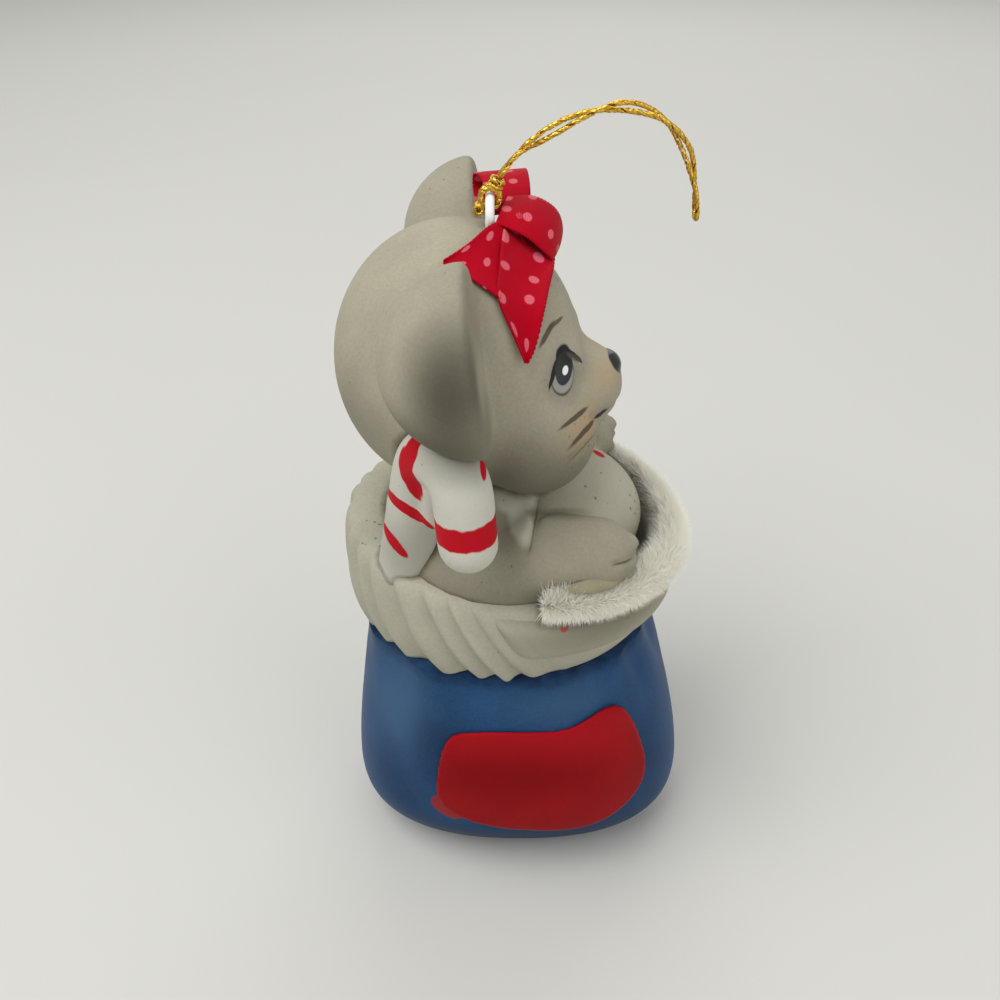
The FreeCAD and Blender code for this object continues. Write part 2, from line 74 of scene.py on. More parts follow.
def colour(name, shade, description):
    """Property for a paint, given as it is seen."""
    return bpy.props.FloatVectorProperty(
        name=name, description=description, default=painted(*shade), size=4, subtype="COLOR", min=0, max=1
    )


def length(name, millimetres, description):
    """Property for a length, given in millimetres."""
    return bpy.props.FloatProperty(
        name=name, description=description, default=millimetres * MM, unit="LENGTH", subtype="DISTANCE"
    )


class OrnamentForm(bpy.types.PropertyGroup):
    """Sizes that shape the pieces."""

    voxel: length("Casting grain", 0.42, "Size of the cells that the cast pieces are blended with")
    ear_wall: length("Ear wall", 2.3, "Thickness of the ears' walls")
    fold_rise: length("Fold rise", 1.4, "Height of the collar's gathered folds")
    fold_count: bpy.props.IntProperty(name="Folds", description="Folds if they went all round", default=32)
    fibre_count: bpy.props.IntProperty(name="Fibres", description="Fibres of the trim's pile", default=49000)
    fibre_reach: length("Pile radius", 2.8, "Distance of the fibres' tips from the trim's core")
    fibre_width: length("Fibre width", 0.075, "Radius of a fibre at its root")
    ribbon_thickness: length("Ribbon thickness", 0.2, "Thickness of the bow's ribbon")
    picot_rise: length("Picot rise", 0.13, "Height of the small loops on the ribbon's edge")
    picot_pitch: length("Picot pitch", 0.5, "Distance between the small loops on the ribbon's edge")
    cord_diameter: length("Cord diameter", 0.8, "Diameter of the gold cord")
    eye_wire: length("Eye wire", 0.55, "Radius of the hanging eye's ring")


class OrnamentFinish(bpy.types.PropertyGroup):
    """Colours of the paints, the ribbon, the pile and the cord."""

    grey: colour("Grey", (162, 157, 138), "Paint of the head")
    stone: colour("Stone", (150, 145, 127), "Paint of the body")
    # Darker grey over the hem's sides, under the trim
    hem_darker_grey: colour("Grey wash", (128, 123, 107), "Thin wash over the hem")
    pale: colour("Pale", (202, 199, 184), "Bare casting on the shoulder and chest")
    # Colour of painted shade on the ears, under the chin, in the body's creases and on the cane
    painted_shade: colour("Smoke", (66, 62, 52), "Dark shading on the ears")
    cream: colour("Cream", (168, 165, 148), "Paint of the collar")
    tan: colour("Tan", (176, 146, 106), "Warm tint on the muzzle and cheeks")
    # Colour of dark specks, and of the dust and painted shade where pieces meet and deep in the pile
    grime_and_shade: colour("Grime", (92, 80, 58), "Dust in the seams")
    ink: colour("Ink", (34, 33, 36), "Paint of the lashes and the nose")
    umber: colour("Umber", (84, 76, 64), "Paint of the brows and whiskers")
    slate: colour("Slate", (34, 38, 48), "Paint of the irises")
    milk: colour("Milk", (158, 156, 150), "Paint of the eyes' whites")
    white: colour("White", (192, 190, 178), "Paint of the cane")
    glint: colour("Glint", (244, 243, 240), "Painted lights in the eyes and glaze of the hanging eye")
    red: colour("Red", (178, 18, 32), "Paint of the stripes")
    patch: colour("Patch red", (142, 8, 16), "Paint of the patch")
    # Red of painted shade in the middle and lower part of the patch
    patch_shade: colour("Deep red", (116, 2, 8), "Thicker paint in the middle of the patch")
    blue: colour("Blue", (38, 71, 109), "Paint of the sack")
    # Paler blue of painted light on the sack's upper left and on its shoulder above the patch
    blue_painted_light: colour("Worn blue", (76, 106, 136), "Thin paint on the sack")
    # Deep blue of painted shade on the sack, under the collar, round the patch and towards the bottom
    shade_blue: colour("Navy", (10, 30, 54), "Thick paint under the collar")
    ribbon: colour("Ribbon", (174, 1, 28), "Dye of the bow")
    dot: colour("Dots", (212, 100, 114), "Print on the bow")
    pile: colour("Pile", (250, 248, 238), "Fibres of the trim")
    gold: colour("Gold", (252, 206, 84), "Foil of the cord")
    glue: colour("Glue", (150, 144, 116), "Set glue")
    steel: colour("Steel", (150, 150, 152), "Wire of the trim")
    floor: colour("Floor", (200, 199, 194), "Floor")
    backdrop: colour("Backdrop", (214, 213, 208), "Backdrop beyond the floor")
    sky: colour("Sky", (184, 185, 184), "Soft light from all round")


# Making pieces


def settled(bm, name):
    """Mesh of a bmesh, which is freed."""
    mesh = bpy.data.meshes.new(name)
    bm.to_mesh(mesh)
    bm.free()
    return mesh


def loaded(mesh):
    """Bmesh of a mesh."""
    bm = bmesh.new()
    bm.from_mesh(mesh)
    return bm


def finish_piece(name, mesh, material, body=MOUSE, replaces=(), smooth=True):
    """Object of a mesh, with its material and its body, hiding the nodes that it stands for."""
    mesh.name = name
    piece = bpy.data.objects.new(name, mesh)
    bpy.context.scene.collection.objects.link(piece)
    mesh.materials.clear()
    mesh.materials.append(material)
    mesh.shade_smooth() if smooth else mesh.shade_flat()
    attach(piece, body)
    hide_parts(*replaces)
    return piece


def evaluated(shape, *steps):
    """Mesh of a mesh or curve after modifiers, each a type and its settings."""
    holder = bpy.data.objects.new("holder", shape)
    bpy.context.scene.collection.objects.link(holder)
    for kind, settings in steps:
        modifier = holder.modifiers.new(kind.lower(), kind)
        for key, value in settings.items():
            setattr(modifier, key, value)
    graph = bpy.context.evaluated_depsgraph_get()
    made = bpy.data.meshes.new_from_object(holder.evaluated_get(graph))
    bpy.data.objects.remove(holder)
    return made


def cast(bm, voxel, rounds):
    """Closed shapes of a bmesh blended into one casting, softened by a number of rounds."""
    return evaluated(
        settled(bm, "raw"),
        ("REMESH", {"mode": "VOXEL", "voxel_size": voxel, "adaptivity": 0}),
        ("SMOOTH", {"factor": 0.5, "iterations": rounds}),
    )


def nurbs_mesh(points, order, resolution, radius=0.0, bevel=0):
    """Bare line, or round stick where it has a radius, along the smooth route of points in metres."""
    curve = bpy.data.curves.new("route", "CURVE")
    curve.dimensions = "3D"
    curve.resolution_u = resolution
    curve.bevel_depth = radius
    curve.bevel_resolution = bevel
    curve.use_fill_caps = radius > 0
    spline = curve.splines.new("NURBS")
    spline.points.add(len(points) - 1)
    for point, place in zip(spline.points, points):
        point.co = (*place, 1)
    spline.order_u = order
    spline.use_endpoint_u = True
    return evaluated(curve)


def ball(bm, centre, halves, turn=(0, 0, 0), detail=64):
    """Ellipsoid in millimetres, turned by degrees."""
    angles = Euler([math.radians(angle) for angle in turn])
    matrix = Matrix.LocRotScale(mm(*centre), angles, Vector(halves) * MM)
    bmesh.ops.create_uvsphere(bm, u_segments=detail, v_segments=detail // 2, radius=1, matrix=matrix)


def balls(bm, origin, table):
    """Ellipsoids of a table, and a twin on the other side for each that is off the middle."""
    for (x, y, z), halves, tilt, detail in table:
        for side in (-1, 1) if y else (1,):
            centre = (origin[0] + x, origin[1] + side * y, origin[2] + z)
            ball(bm, centre, halves, (0, tilt, 0), detail)


def bar(bm, start, end, start_radius, end_radius, detail=48):
    """Tapered bar with rounded ends, in millimetres."""
    ball(bm, start, (start_radius,) * 3, detail=detail)
    ball(bm, end, (end_radius,) * 3, detail=detail)
    along = mm(*end) - mm(*start)
    bmesh.ops.create_cone(
        bm,
        cap_ends=True,
        segments=detail,
        radius1=start_radius * MM,
        radius2=end_radius * MM,
        depth=along.length,
        matrix=Matrix.LocRotScale(mm(*start) + along / 2, along.to_track_quat("Z", "Y"), None),
    )


def sheet(columns, rows, place, printed=(1.0, 1.0)):
    """Grid whose points place() sets from their shares across and along, with a printed size."""
    bm = bmesh.new()
    uv = bm.loops.layers.uv.new("print")
    bmesh.ops.create_grid(bm, x_segments=columns, y_segments=rows, size=0.5, calc_uvs=True)
    for face in bm.faces:
        for corner in face.loops:
            across, along = corner[uv].uv
            corner[uv].uv = (across * printed[0], along * printed[1])
    for vert in bm.verts:
        vert.co = place(vert.co.x + 0.5, vert.co.y + 0.5)
    return bm


def closed_ring(bm, capped=False):
    """Merges a grid's seams, closes its ends where asked and points its faces outwards."""
    bmesh.ops.remove_doubles(bm, verts=bm.verts, dist=0.01 * MM)
    bmesh.ops.dissolve_degenerate(bm, edges=bm.edges, dist=0.001 * MM)
    if capped:
        bmesh.ops.holes_fill(bm, edges=[edge for edge in bm.edges if edge.is_boundary], sides=0)
    bmesh.ops.recalc_face_normals(bm, faces=bm.faces)
    return bm


def blended(table, share):
    """Values of a table's rows at a share of its first column, eased between the rows."""
    last = len(table) - 1
    index = next((row for row in range(last) if share <= table[row + 1][0]), last - 1)
    low, high = table[index], table[index + 1]
    before, after = table[max(index - 1, 0)], table[min(index + 2, last)]
    span = high[0] - low[0]
    t = min(max((share - low[0]) / span, 0), 1)
    values = []
    for column in range(1, len(low)):
        rise_low = (high[column] - before[column]) / (high[0] - before[0]) * span
        rise_high = (after[column] - low[column]) / (after[0] - low[0]) * span
        a = 2 * low[column] - 2 * high[column] + rise_low + rise_high
        b = 3 * high[column] - 3 * low[column] - 2 * rise_low - rise_high
        values.append(((a * t + b) * t + rise_low) * t + low[column])
    return values


def squared(half_x, half_y, power, angle):
    """Point at an angle in turns on an ellipse squared off by a power."""
    c, s = math.cos(angle * math.tau), math.sin(angle * math.tau)
    reach = (abs(c / half_x) ** power + abs(s / half_y) ** power) ** (-1 / power)
    return reach * c, reach * s


def node_tree(*names):
    """Search tree of merged copies of CAD nodes."""
    bm = bmesh.new()
    for name in names:
        bm.from_mesh(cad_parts[name].data)
    bmesh.ops.remove_doubles(bm, verts=bm.verts, dist=0.001 * MM)
    tree = BVHTree.FromBMesh(bm)
    bm.free()
    return tree


def mark_points(mesh, values):
    """Gives each point a value, which the materials read as nearness to a seam."""
    mesh.attributes.new("seam", "FLOAT", "POINT").data.foreach_set("value", values)


def mark_nearness(mesh, reach, *names):
    """Marks each point by how close CAD nodes come to it, within a reach in millimetres."""
    tree = node_tree(*names)
    values = []
    for vert in mesh.vertices:
        found = tree.find_nearest(vert.co, reach * MM)
        values.append(0 if found[0] is None else 1 - found[3] / (reach * MM))
    mark_points(mesh, values)


# Materials


def node(tree, kind, inputs=None, **settings):
    """New node with its settings, links and values."""
    made = tree.nodes.new(kind)
    for key, value in settings.items():
        setattr(made, key, value)
    for socket, value in (inputs or {}).items():
        if isinstance(value, bpy.types.NodeSocket):
            tree.links.new(value, made.inputs[socket])
        else:
            made.inputs[socket].default_value = value
    return made


def object_place(tree):
    """Socket of the object's own coordinates."""
    return node(tree, "ShaderNodeTexCoord").outputs["Object"]


def maths(tree, operation, first, second=0.0):
    """Socket of a sum, a product or the like."""
    return node(tree, "ShaderNodeMath", {0: first, 1: second}, operation=operation).outputs[0]


def vector_maths(tree, operation, first, second):
    """Socket of the like for vectors."""
    return node(tree, "ShaderNodeVectorMath", {0: first, 1: second}, operation=operation).outputs[0]


def clouds(tree, where, scale, detail):
    """Socket of soft noise."""
    inputs = {"Vector": where, "Scale": scale, "Detail": detail}
    return node(tree, "ShaderNodeTexNoise", inputs).outputs["Fac"]


def ranged(tree, value, low=0.0, high=1.0, to_low=0.0, to_high=1.0, **settings):
    """Socket of a value moved from one range to another."""
    inputs = {"Value": value, "From Min": low, "From Max": high, "To Min": to_low, "To Max": to_high}
    return node(tree, "ShaderNodeMapRange", inputs, **settings).outputs[0]


def bumped(tree, shader, height, strength, distance):
    """Lets a height socket ruffle the shader's surface, up to a distance in millimetres."""
    lift = node(tree, "ShaderNodeBump", {"Height": height, "Strength": strength, "Distance": distance * MM})
    tree.links.new(lift.outputs[0], shader.inputs["Normal"])


def mixed(tree, factor, low, high, mode="MIX"):
    """Colour socket of low with high over it."""
    inputs = {0: factor, 6: low, 7: high}
    return node(tree, "ShaderNodeMix", inputs, data_type="RGBA", blend_type=mode).outputs[2]


def new_group(name, inputs, outputs):
    """Node group with sockets for its inputs' defaults and its outputs' names."""
    group = bpy.data.node_groups.new(name, "ShaderNodeTree")
    for socket, default in inputs.items():
        kind = "NodeSocketFloat" if isinstance(default, float) else "NodeSocketVector"
        group.interface.new_socket(socket, in_out="INPUT", socket_type=kind).default_value = default
    for socket in outputs:
        group.interface.new_socket(socket, in_out="OUTPUT", socket_type="NodeSocketFloat")
    return group, group.nodes.new("NodeGroupInput").outputs, group.nodes.new("NodeGroupOutput").inputs


def shared(tree, name, make, inputs):
    """Output sockets of a shared node group, which is made on first use."""
    group = bpy.data.node_groups.get(name) or make(name)
    return node(tree, "ShaderNodeGroup", inputs, node_tree=group).outputs


def oval_group(name):
    """Mask of an ellipsoid of paint with a soft and slightly uneven edge."""
    inputs = {
        "Vector": (0, 0, 0),
        "Centre": (0, 0, 0),
        "Turn": (0, 0, 0),
        "Halves": (MM, MM, MM),
        "Softness": 0.1,
        "Wobble": 0.0,
        "Strength": 1.0,
    }
    group, given, out = new_group(name, inputs, ["Mask"])
    uneven = node(group, "ShaderNodeTexNoise", {"Vector": given["Vector"], "Scale": 700.0, "Detail": 2.0})
    centred = vector_maths(group, "SUBTRACT", uneven.outputs["Color"], (0.5, 0.5, 0.5))
    shift = vector_maths(group, "MULTIPLY", centred, given["Wobble"])
    placed = {
        "Vector": vector_maths(group, "ADD", given["Vector"], shift),
        "Location": given["Centre"],
        "Rotation": given["Turn"],
        "Scale": given["Halves"],
    }
    local = node(group, "ShaderNodeMapping", placed, vector_type="TEXTURE").outputs[0]
    reach = node(group, "ShaderNodeVectorMath", {0: local}, operation="LENGTH").outputs["Value"]
    outer = maths(group, "ADD", 1.0, given["Softness"])
    inner = maths(group, "SUBTRACT", 1.0, given["Softness"])
    mask = ranged(group, reach, outer, inner, 0.0, given["Strength"], interpolation_type="SMOOTHSTEP")
    group.links.new(mask, out["Mask"])
    return group


def grain_group(name):
    """Uneven tone, fine height and dark specks of a matt casting."""
    inputs = {"Vector": (0, 0, 0), "Mottle": 0.12, "Specks": 0.5}
    group, given, out = new_group(name, inputs, ("Tone", "Height", "Speck"))
    where = given["Vector"]
    both = maths(group, "ADD", clouds(group, where, 160.0, 5.0), clouds(group, where, 2600.0, 3.0))
    low = maths(group, "SUBTRACT", 1.0, given["Mottle"])
    high = maths(group, "ADD", 1.0, given["Mottle"])
    group.links.new(ranged(group, both, 0.7, 1.3, low, high), out["Tone"])
    group.links.new(both, out["Height"])
    grit = node(group, "ShaderNodeTexVoronoi", {"Vector": where, "Scale": 650.0}).outputs["Distance"]
    size = ranged(group, clouds(group, where, 90.0, 0.0), 0.43, 0.75, 0.0, 0.16)
    near = maths(group, "LESS_THAN", grit, size)
    group.links.new(maths(group, "MULTIPLY", near, given["Specks"]), out["Speck"])
    return group


def dust_and_shade_group(name):
    """Mask of dust and painted shade where other pieces come close, broken up by noise."""
    group, given, out = new_group(name, {"Vector": (0, 0, 0), "Nearness": 0.0, "Amount": 0.8}, ["Mask"])
    broken = maths(group, "ADD", clouds(group, given["Vector"], 500.0, 4.0), 0.5)
    dense = ranged(group, maths(group, "MULTIPLY", given["Nearness"], broken), 0.35)
    group.links.new(maths(group, "MULTIPLY", dense, given["Amount"]), out["Mask"])
    return group


def new_material(name, **shader_values):
    """Material with an empty tree but for its shader and its output."""
    material = bpy.data.materials.new(name)
    material.use_nodes = True
    tree = material.node_tree
    tree.nodes.clear()
    named = {socket.replace("_", " "): value for socket, value in shader_values.items()}
    shader = node(tree, "ShaderNodeBsdfPrincipled", named)
    node(tree, "ShaderNodeOutputMaterial", {"Surface": shader.outputs[0]})
    return material, tree, shader


def oval_mask(tree, where, centre, turn, halves, softness, wobble, strength):
    """Mask socket of a painted oval, placed in millimetres and turned by degrees."""
    inputs = {
        "Vector": where,
        "Centre": mm(*centre),
        "Turn": [math.radians(angle) for angle in turn],
        "Halves": mm(*halves),
        "Softness": softness,
        "Wobble": wobble * MM,
        "Strength": strength,
    }
    return shared(tree, "Painted oval", oval_group, inputs)["Mask"]


# Direction that the painted side is seen from, and how deep a stroke reaches along it, in millimetres
NEAR_SIDE = (0.06, 0.885, -0.46)
STROKE_DEPTH = 3.0


def stroke(shade, start, end, width, soft=0.15, strength=1.0, gloss=0.0, wobble=0.25):
    """Brush stroke between two points in millimetres, tapered at both ends."""
    along = Vector(end) - Vector(start)
    inward = Vector(NEAR_SIDE)
    inward = (inward - along * inward.dot(along) / along.length_squared).normalized()
    turn = Matrix((along.normalized(), inward.cross(along).normalized(), inward)).transposed().to_euler()
    centre = (Vector(start) + Vector(end)) / 2
    halves = (along.length / 2, width / 2, STROKE_DEPTH)
    degrees = [math.degrees(angle) for angle in turn]
    return shade, tuple(centre), degrees, halves, soft, wobble, strength, gloss


def folded(tree, place):
    """Socket of coordinates whose left side repeats the right one."""
    parts = node(tree, "ShaderNodeSeparateXYZ", {0: place}).outputs
    near = maths(tree, "MULTIPLY", maths(tree, "ABSOLUTE", parts["Y"]), -1.0)
    return node(tree, "ShaderNodeCombineXYZ", {"X": parts["X"], "Y": near, "Z": parts["Z"]}).outputs[0]


def painted_casting(
    name,
    base,
    ovals=(),
    rough=0.82,
    mottle=0.09,
    specks=0.6,
    bump=0.35,
    dust_and_shade=0.8,
    mirrored=False,
    seam_shade=None,
):
    """Matt paint on bisque under ovals of paint, darkened with dust and painted shade near other pieces.

    Each oval is a colour, centre, turn, halves, softness, wobble, strength and gloss.
    """
    grime_and_shade = bpy.context.scene.ornament_finish.grime_and_shade
    material, tree, shader = new_material(name, Roughness=rough, Specular_IOR_Level=0.06)
    place = object_place(tree)
    where = folded(tree, place) if mirrored else place
    grain = shared(tree, "Bisque grain", grain_group, {"Vector": place, "Mottle": mottle, "Specks": specks})
    paint = mixed(tree, 1.0, base, grain["Tone"], "MULTIPLY")
    seam = node(tree, "ShaderNodeAttribute", attribute_name="seam").outputs["Fac"]
    # Dust and painted shade where other pieces come close
    dust_and_shade_mask = shared(tree, "Seam dust", dust_and_shade_group, {"Vector": place, "Nearness": seam, "Amount": dust_and_shade})["Mask"]
    # With a seam colour, the darkening near other pieces is a painted shadow in that colour
    if seam_shade:
        paint = mixed(tree, dust_and_shade_mask, paint, seam_shade)
    coat = None
    for shade, *shape, gloss in ovals:
        mask = oval_mask(tree, where, *shape)
        paint = mixed(tree, mask, paint, shade)
        if gloss:
            shine = maths(tree, "MULTIPLY", mask, gloss)
            coat = maths(tree, "MAXIMUM", coat, shine) if coat else shine
    if coat:
        tree.links.new(coat, shader.inputs["Coat Weight"])
        shader.inputs["Coat Roughness"].default_value = 0.12
    paint = mixed(tree, grain["Speck"], paint, grime_and_shade)
    # Without one, the darkening near other pieces is dust and painted shade
    if not seam_shade:
        paint = mixed(tree, dust_and_shade_mask, paint, grime_and_shade)
    tree.links.new(paint, shader.inputs["Base Color"])
    bumped(tree, shader, grain["Height"], bump, 0.05)
    return material


# Width of a groove over which its depth fades out, as a share of its named width
GROOVE_FADE_SHARE = 2.5


def dent(mesh, path, width, depth):
    """Presses a groove into a mesh along points in millimetres."""
    points = [mm(*point) for point in path]
    reach = GROOVE_FADE_SHARE * width * MM
    low = [min(point[axis] for point in points) - reach for axis in range(3)]
    high = [max(point[axis] for point in points) + reach for axis in range(3)]
    for vert in mesh.vertices:
        co = vert.co
        if any(co[axis] < low[axis] or co[axis] > high[axis] for axis in range(3)):
            continue
        nearest = reach
        for before, after in zip(points, points[1:]):
            along = after - before
            share = min(max((co - before).dot(along) / along.length_squared, 0), 1)
            nearest = min(nearest, (co - before - along * share).length)
        if nearest < reach:
            vert.co = co - vert.normal * depth * MM * math.exp(-((nearest / width / MM) ** 2))


# Head

# Centres of the skull and the left ear, and the ear's halves, in millimetres
SKULL = (-8.7, 0.0, 83.2)
EAR_CENTRE = (-5.4, 19.4, 92.1)
EAR_HALVES = (11.4, 11.0, 11.0)
EAR_LEAN = -8
# Cells of the first, coarse blend of the head and the body, in millimetres, and rounds of smoothing
COARSE = 0.8
HEAD_ROUNDS = 18
EAR_ROUNDS = 34
FACE_ROUNDS = 6
BODY_ROUNDS = 9
HAND_ROUNDS = 5
# Skull, cheeks, muzzle, chin and eye beds: centre from the skull's and halves in millimetres, tilt, detail
SKULL_FORMS = (
    ((0.0, 0.0, 0.0), (16.0, 17.4, 17.4), 0, 96),
    ((9.6, 6.6, -7.0), (8.6, 9.4, 8.7), 0, 64),
    ((14.6, 0.0, -4.0), (7.3, 7.2, 5.9), 0, 64),
    ((12.6, 0.0, -9.4), (6.6, 7.4, 4.4), 0, 64),
    ((11.6, 5.2, 1.6), (4.6, 4.5, 5.0), 0, 64),
)
# Upper lip, nose and lower lip in the same way
SNOUT_FORMS = (
    ((16.4, 2.4, -4.4), (4.4, 3.7, 3.6), 0, 64),
    ((19.3, 0.0, -1.3), (2.2, 2.4, 1.9), 20, 32),
    ((17.0, 0.0, -9.9), (2.3, 3.0, 1.6), -15, 32),
)


def ear_mesh(side):
    """One ear: a cup with a thick rounded wall that opens forward."""
    form = bpy.context.scene.ornament_form
    cup = bmesh.new()
    upright = Matrix.Rotation(math.radians(90), 4, "Y")
    for inset in (0, form.ear_wall):
        halves = mm(*EAR_HALVES) - Vector((inset, inset, inset))
        matrix = Matrix.LocRotScale(None, None, halves) @ upright
        bmesh.ops.create_uvsphere(cup, u_segments=72, v_segments=36, radius=1, matrix=matrix)
    whole = cup.verts[:] + cup.edges[:] + cup.faces[:]
    bmesh.ops.bisect_plane(cup, geom=whole, plane_co=(0, 0, 0), plane_no=(1, 0, 0), clear_outer=True)
    bmesh.ops.bridge_loops(cup, edges=[edge for edge in cup.edges if edge.is_boundary])
    bmesh.ops.recalc_face_normals(cup, faces=cup.faces)
    lean = Matrix.Rotation(math.radians(EAR_LEAN), 4, "Y")
    place = Matrix.Translation(mm(EAR_CENTRE[0], side * EAR_CENTRE[1], EAR_CENTRE[2]))
    bmesh.ops.transform(cup, matrix=place @ lean, verts=cup.verts)
    return cast(cup, form.voxel, EAR_ROUNDS)


def head_mesh():
    """Skull, cheeks, muzzle and chin blended softly, then joined by the nose, the lips and the ears."""
    bm = bmesh.new()
    balls(bm, SKULL, SKULL_FORMS)
    bm = loaded(cast(bm, COARSE * MM, HEAD_ROUNDS))
    for side in (-1, 1):
        bm.from_mesh(ear_mesh(side))
    balls(bm, SKULL, SNOUT_FORMS)
    return cast(bm, bpy.context.scene.ornament_form.voxel, FACE_ROUNDS)


# Grooves of the mouth and cheek on the left side, each with its width and depth in millimetres
FACE_GROOVES = (
    (((8.2, 9.6, 79.3), (8.92, 8.25, 78.5), (10.21, 5.47, 77.69), (12.4, 1.5, 77.6)), 0.45, 0.5),
    (((5.4, 14.4, 76.1), (6.8, 13.2, 76.9), (8.7, 10.0, 77.0)), 0.35, 0.25),
)


def make_head():
    """Head and ears with the grooves of the mouth."""
    finish = bpy.context.scene.ornament_finish
    mesh = head_mesh()
    for side in (-1, 1):
        for groove, width, depth in FACE_GROOVES:
            dent(mesh, [(x, side * y, z) for x, y, z in groove], width, depth)
    mark_nearness(mesh, SEAM_REACH, "mouse_torso", "candy_cane")
    material = painted_casting("Painted head", finish.grey, face_paint(finish), mirrored=True)
    replaced = ("mouse_head", "right_ear", "left_ear")
    finish_piece("head_and_ears", mesh, material, replaces=replaced)


def shade_off(shade, centre, halves, strength, soft=0.9):
    """Soft cloud of a colour, which serves for airbrushed tints and for painted shade and light."""
    return shade, centre, (0, 0, 0), halves, soft, 0.4, strength, 0.0


# Gloss of the lashes
LASH_GLOSS = 0.3


def face_paint(finish):
    """Painted shade on and under the ears, at the back of the head and under the chin, with the ears' smudges
    partly airbrush; a warm tint; and the painted features of the right side, which the left side repeats.
    """
    painted_shade, tan, umber, ink, slate = finish.painted_shade, finish.tan, finish.umber, finish.ink, finish.slate
    return (
        # Painted shade: the ear's smudge, which is partly airbrush, the ear's underside, the back of the
        # head, under the chin and the ear's top
        shade_off(painted_shade, (-8.3, -29.3, 93.6), (4.2, 4.0, 6.4), 0.85),
        shade_off(painted_shade, (-9.5, -25.5, 85.0), (7.0, 7.0, 4.2), 0.7),
        shade_off(painted_shade, (-22.0, -10.5, 80.0), (6.0, 5.0, 6.0), 0.3),
        shade_off(painted_shade, (1.0, -13.5, 73.0), (10.0, 8.0, 6.0), 0.62),
        shade_off(painted_shade, (-4.0, -22.0, 98.0), (7.0, 9.0, 7.0), 0.3),
        shade_off(tan, (10.8, -3.4, 82.4), (2.8, 3.4, 2.0), 0.42),
        shade_off(tan, (8.3, -10.0, 79.4), (2.6, 3.0, 2.0), 0.5),
        shade_off(tan, (6.4, -12.3, 78.8), (2.6, 2.6, 2.2), 0.4),
        # Eye, from its ground to its highlight
        shade_off(umber, (4.6, -10.2, 85.2), (3.0, 3.0, 3.0), 0.35, 0.6),
        stroke(umber, (4.35, -9.5, 87.6), (4.5, -10.9, 83.1), 3.45, 0.06, 1.0, 0.2, 0.1),
        stroke(finish.milk, (4.4, -9.6, 87.2), (4.5, -10.8, 83.4), 3.1, 0.08, 0.9, 0.2, 0.1),
        stroke(slate, (4.5, -9.3, 88.2), (4.6, -10.1, 84.1), 2.35, 0.06, 1.0, 0.7, 0.1),
        stroke(ink, (4.6, -9.5, 87.2), (4.65, -10.0, 84.9), 1.3, 0.25, 0.7, 0.7, 0.1),
        stroke(ink, (2.65, -12.1, 84.6), (3.95, -9.7, 88.4), 0.5, 0.15, 1.0, LASH_GLOSS),
        stroke(ink, (3.0, -11.4, 85.9), (4.7, -8.9, 88.9), 0.9, 0.12, 1.0, LASH_GLOSS),
        stroke(ink, (4.25, -9.3, 89.0), (4.6, -9.7, 86.3), 2.0, 0.12, 1.0, LASH_GLOSS),
        stroke(ink, (3.6, -9.9, 88.1), (6.3, -8.2, 87.4), 1.1, 0.12, 1.0, LASH_GLOSS),
        stroke(ink, (4.9, -8.8, 88.3), (7.4, -7.2, 85.3), 0.55, 0.12, 1.0, LASH_GLOSS),
        stroke(umber, (5.2, -8.9, 87.6), (7.1, -7.5, 85.8), 0.75, 0.3, 0.7, 0.3),
        stroke(finish.glint, (4.69, -9.6, 86.4), (4.72, -9.8, 85.25), 0.72, 0.12, 1.0, 0.5, 0.0),
        # Brow and whiskers
        stroke(umber, (1.4, -11.5, 89.8), (3.2, -8.0, 91.6), 0.6, 0.3, 0.9),
        stroke(umber, (2.4, -9.6, 91.15), (4.6, -6.0, 91.5), 0.5, 0.3, 0.85),
        stroke(umber, (3.9, -14.0, 80.1), (7.7, -9.4, 80.7), 0.62, 0.25, 0.95),
        stroke(umber, (5.2, -14.3, 77.7), (8.8, -8.9, 78.8), 0.62, 0.25, 0.95),
        # Painted shade along the crease between the cheek and the chest
        stroke(umber, (5.3, -14.5, 75.9), (8.8, -9.9, 77.1), 0.22, 0.5, 0.55),
        stroke(ink, (9.1, -8.0, 78.4), (11.2, -4.3, 77.8), 0.5, 0.3, 0.9),
        # Nose
        (ink, (12.4, 0.0, 82.7), (0, 25, 0), (2.0, 2.5, 1.75), 0.08, 0.3, 1.0, 0.9),
    )


# Body

# Belly, chest and flanks: centre and halves in millimetres, tilt, detail
BODY_FORMS = (
    ((-3.0, 0.0, 55.0), (17.5, 17.5, 16.1), 0, 96),
    ((2.6, 0.0, 58.5), (14.5, 13.6, 9.5), 0, 64),
    ((-3.5, 6.3, 58.6), (14.6, 14.2, 8.0), 0, 64),
)
# Hand and its three fingers in the same way
HAND_FORMS = (
    ((9.6, 14.8, 62.0), (4.7, 4.8, 4.6), 0, 64),
    ((12.3, 15.0, 63.8), (2.5, 2.1, 1.35), 0, 24),
    ((12.3, 15.8, 61.7), (2.5, 2.1, 1.35), 0, 24),
    ((12.3, 15.3, 59.7), (2.5, 2.1, 1.35), 0, 24),
)
# Left arm from its elbow to its wrist, with the radius at each, in millimetres
ARM = ((2.2, 15.0, 62.0), (9.2, 14.9, 62.1))
ARM_RADII = (5.6, 4.8)
# Creases of the left shoulder, hand and arm, each with its width and depth in millimetres
BODY_GROOVES = (
    (((1.6, 10.2, 67.4), (1.3, 15.1, 67.3), (0.2, 18.4, 65.8)), 0.55, 0.5),
    (((11.2, 19.2, 63.4), (13.6, 16.8, 62.6)), 0.4, 0.5),
    (((1.5, 13.8, 67.3), (4.6, 11.2, 66.4), (7.4, 10.0, 64.9), (11.4, 10.3, 63.6)), 0.6, 0.5),
)


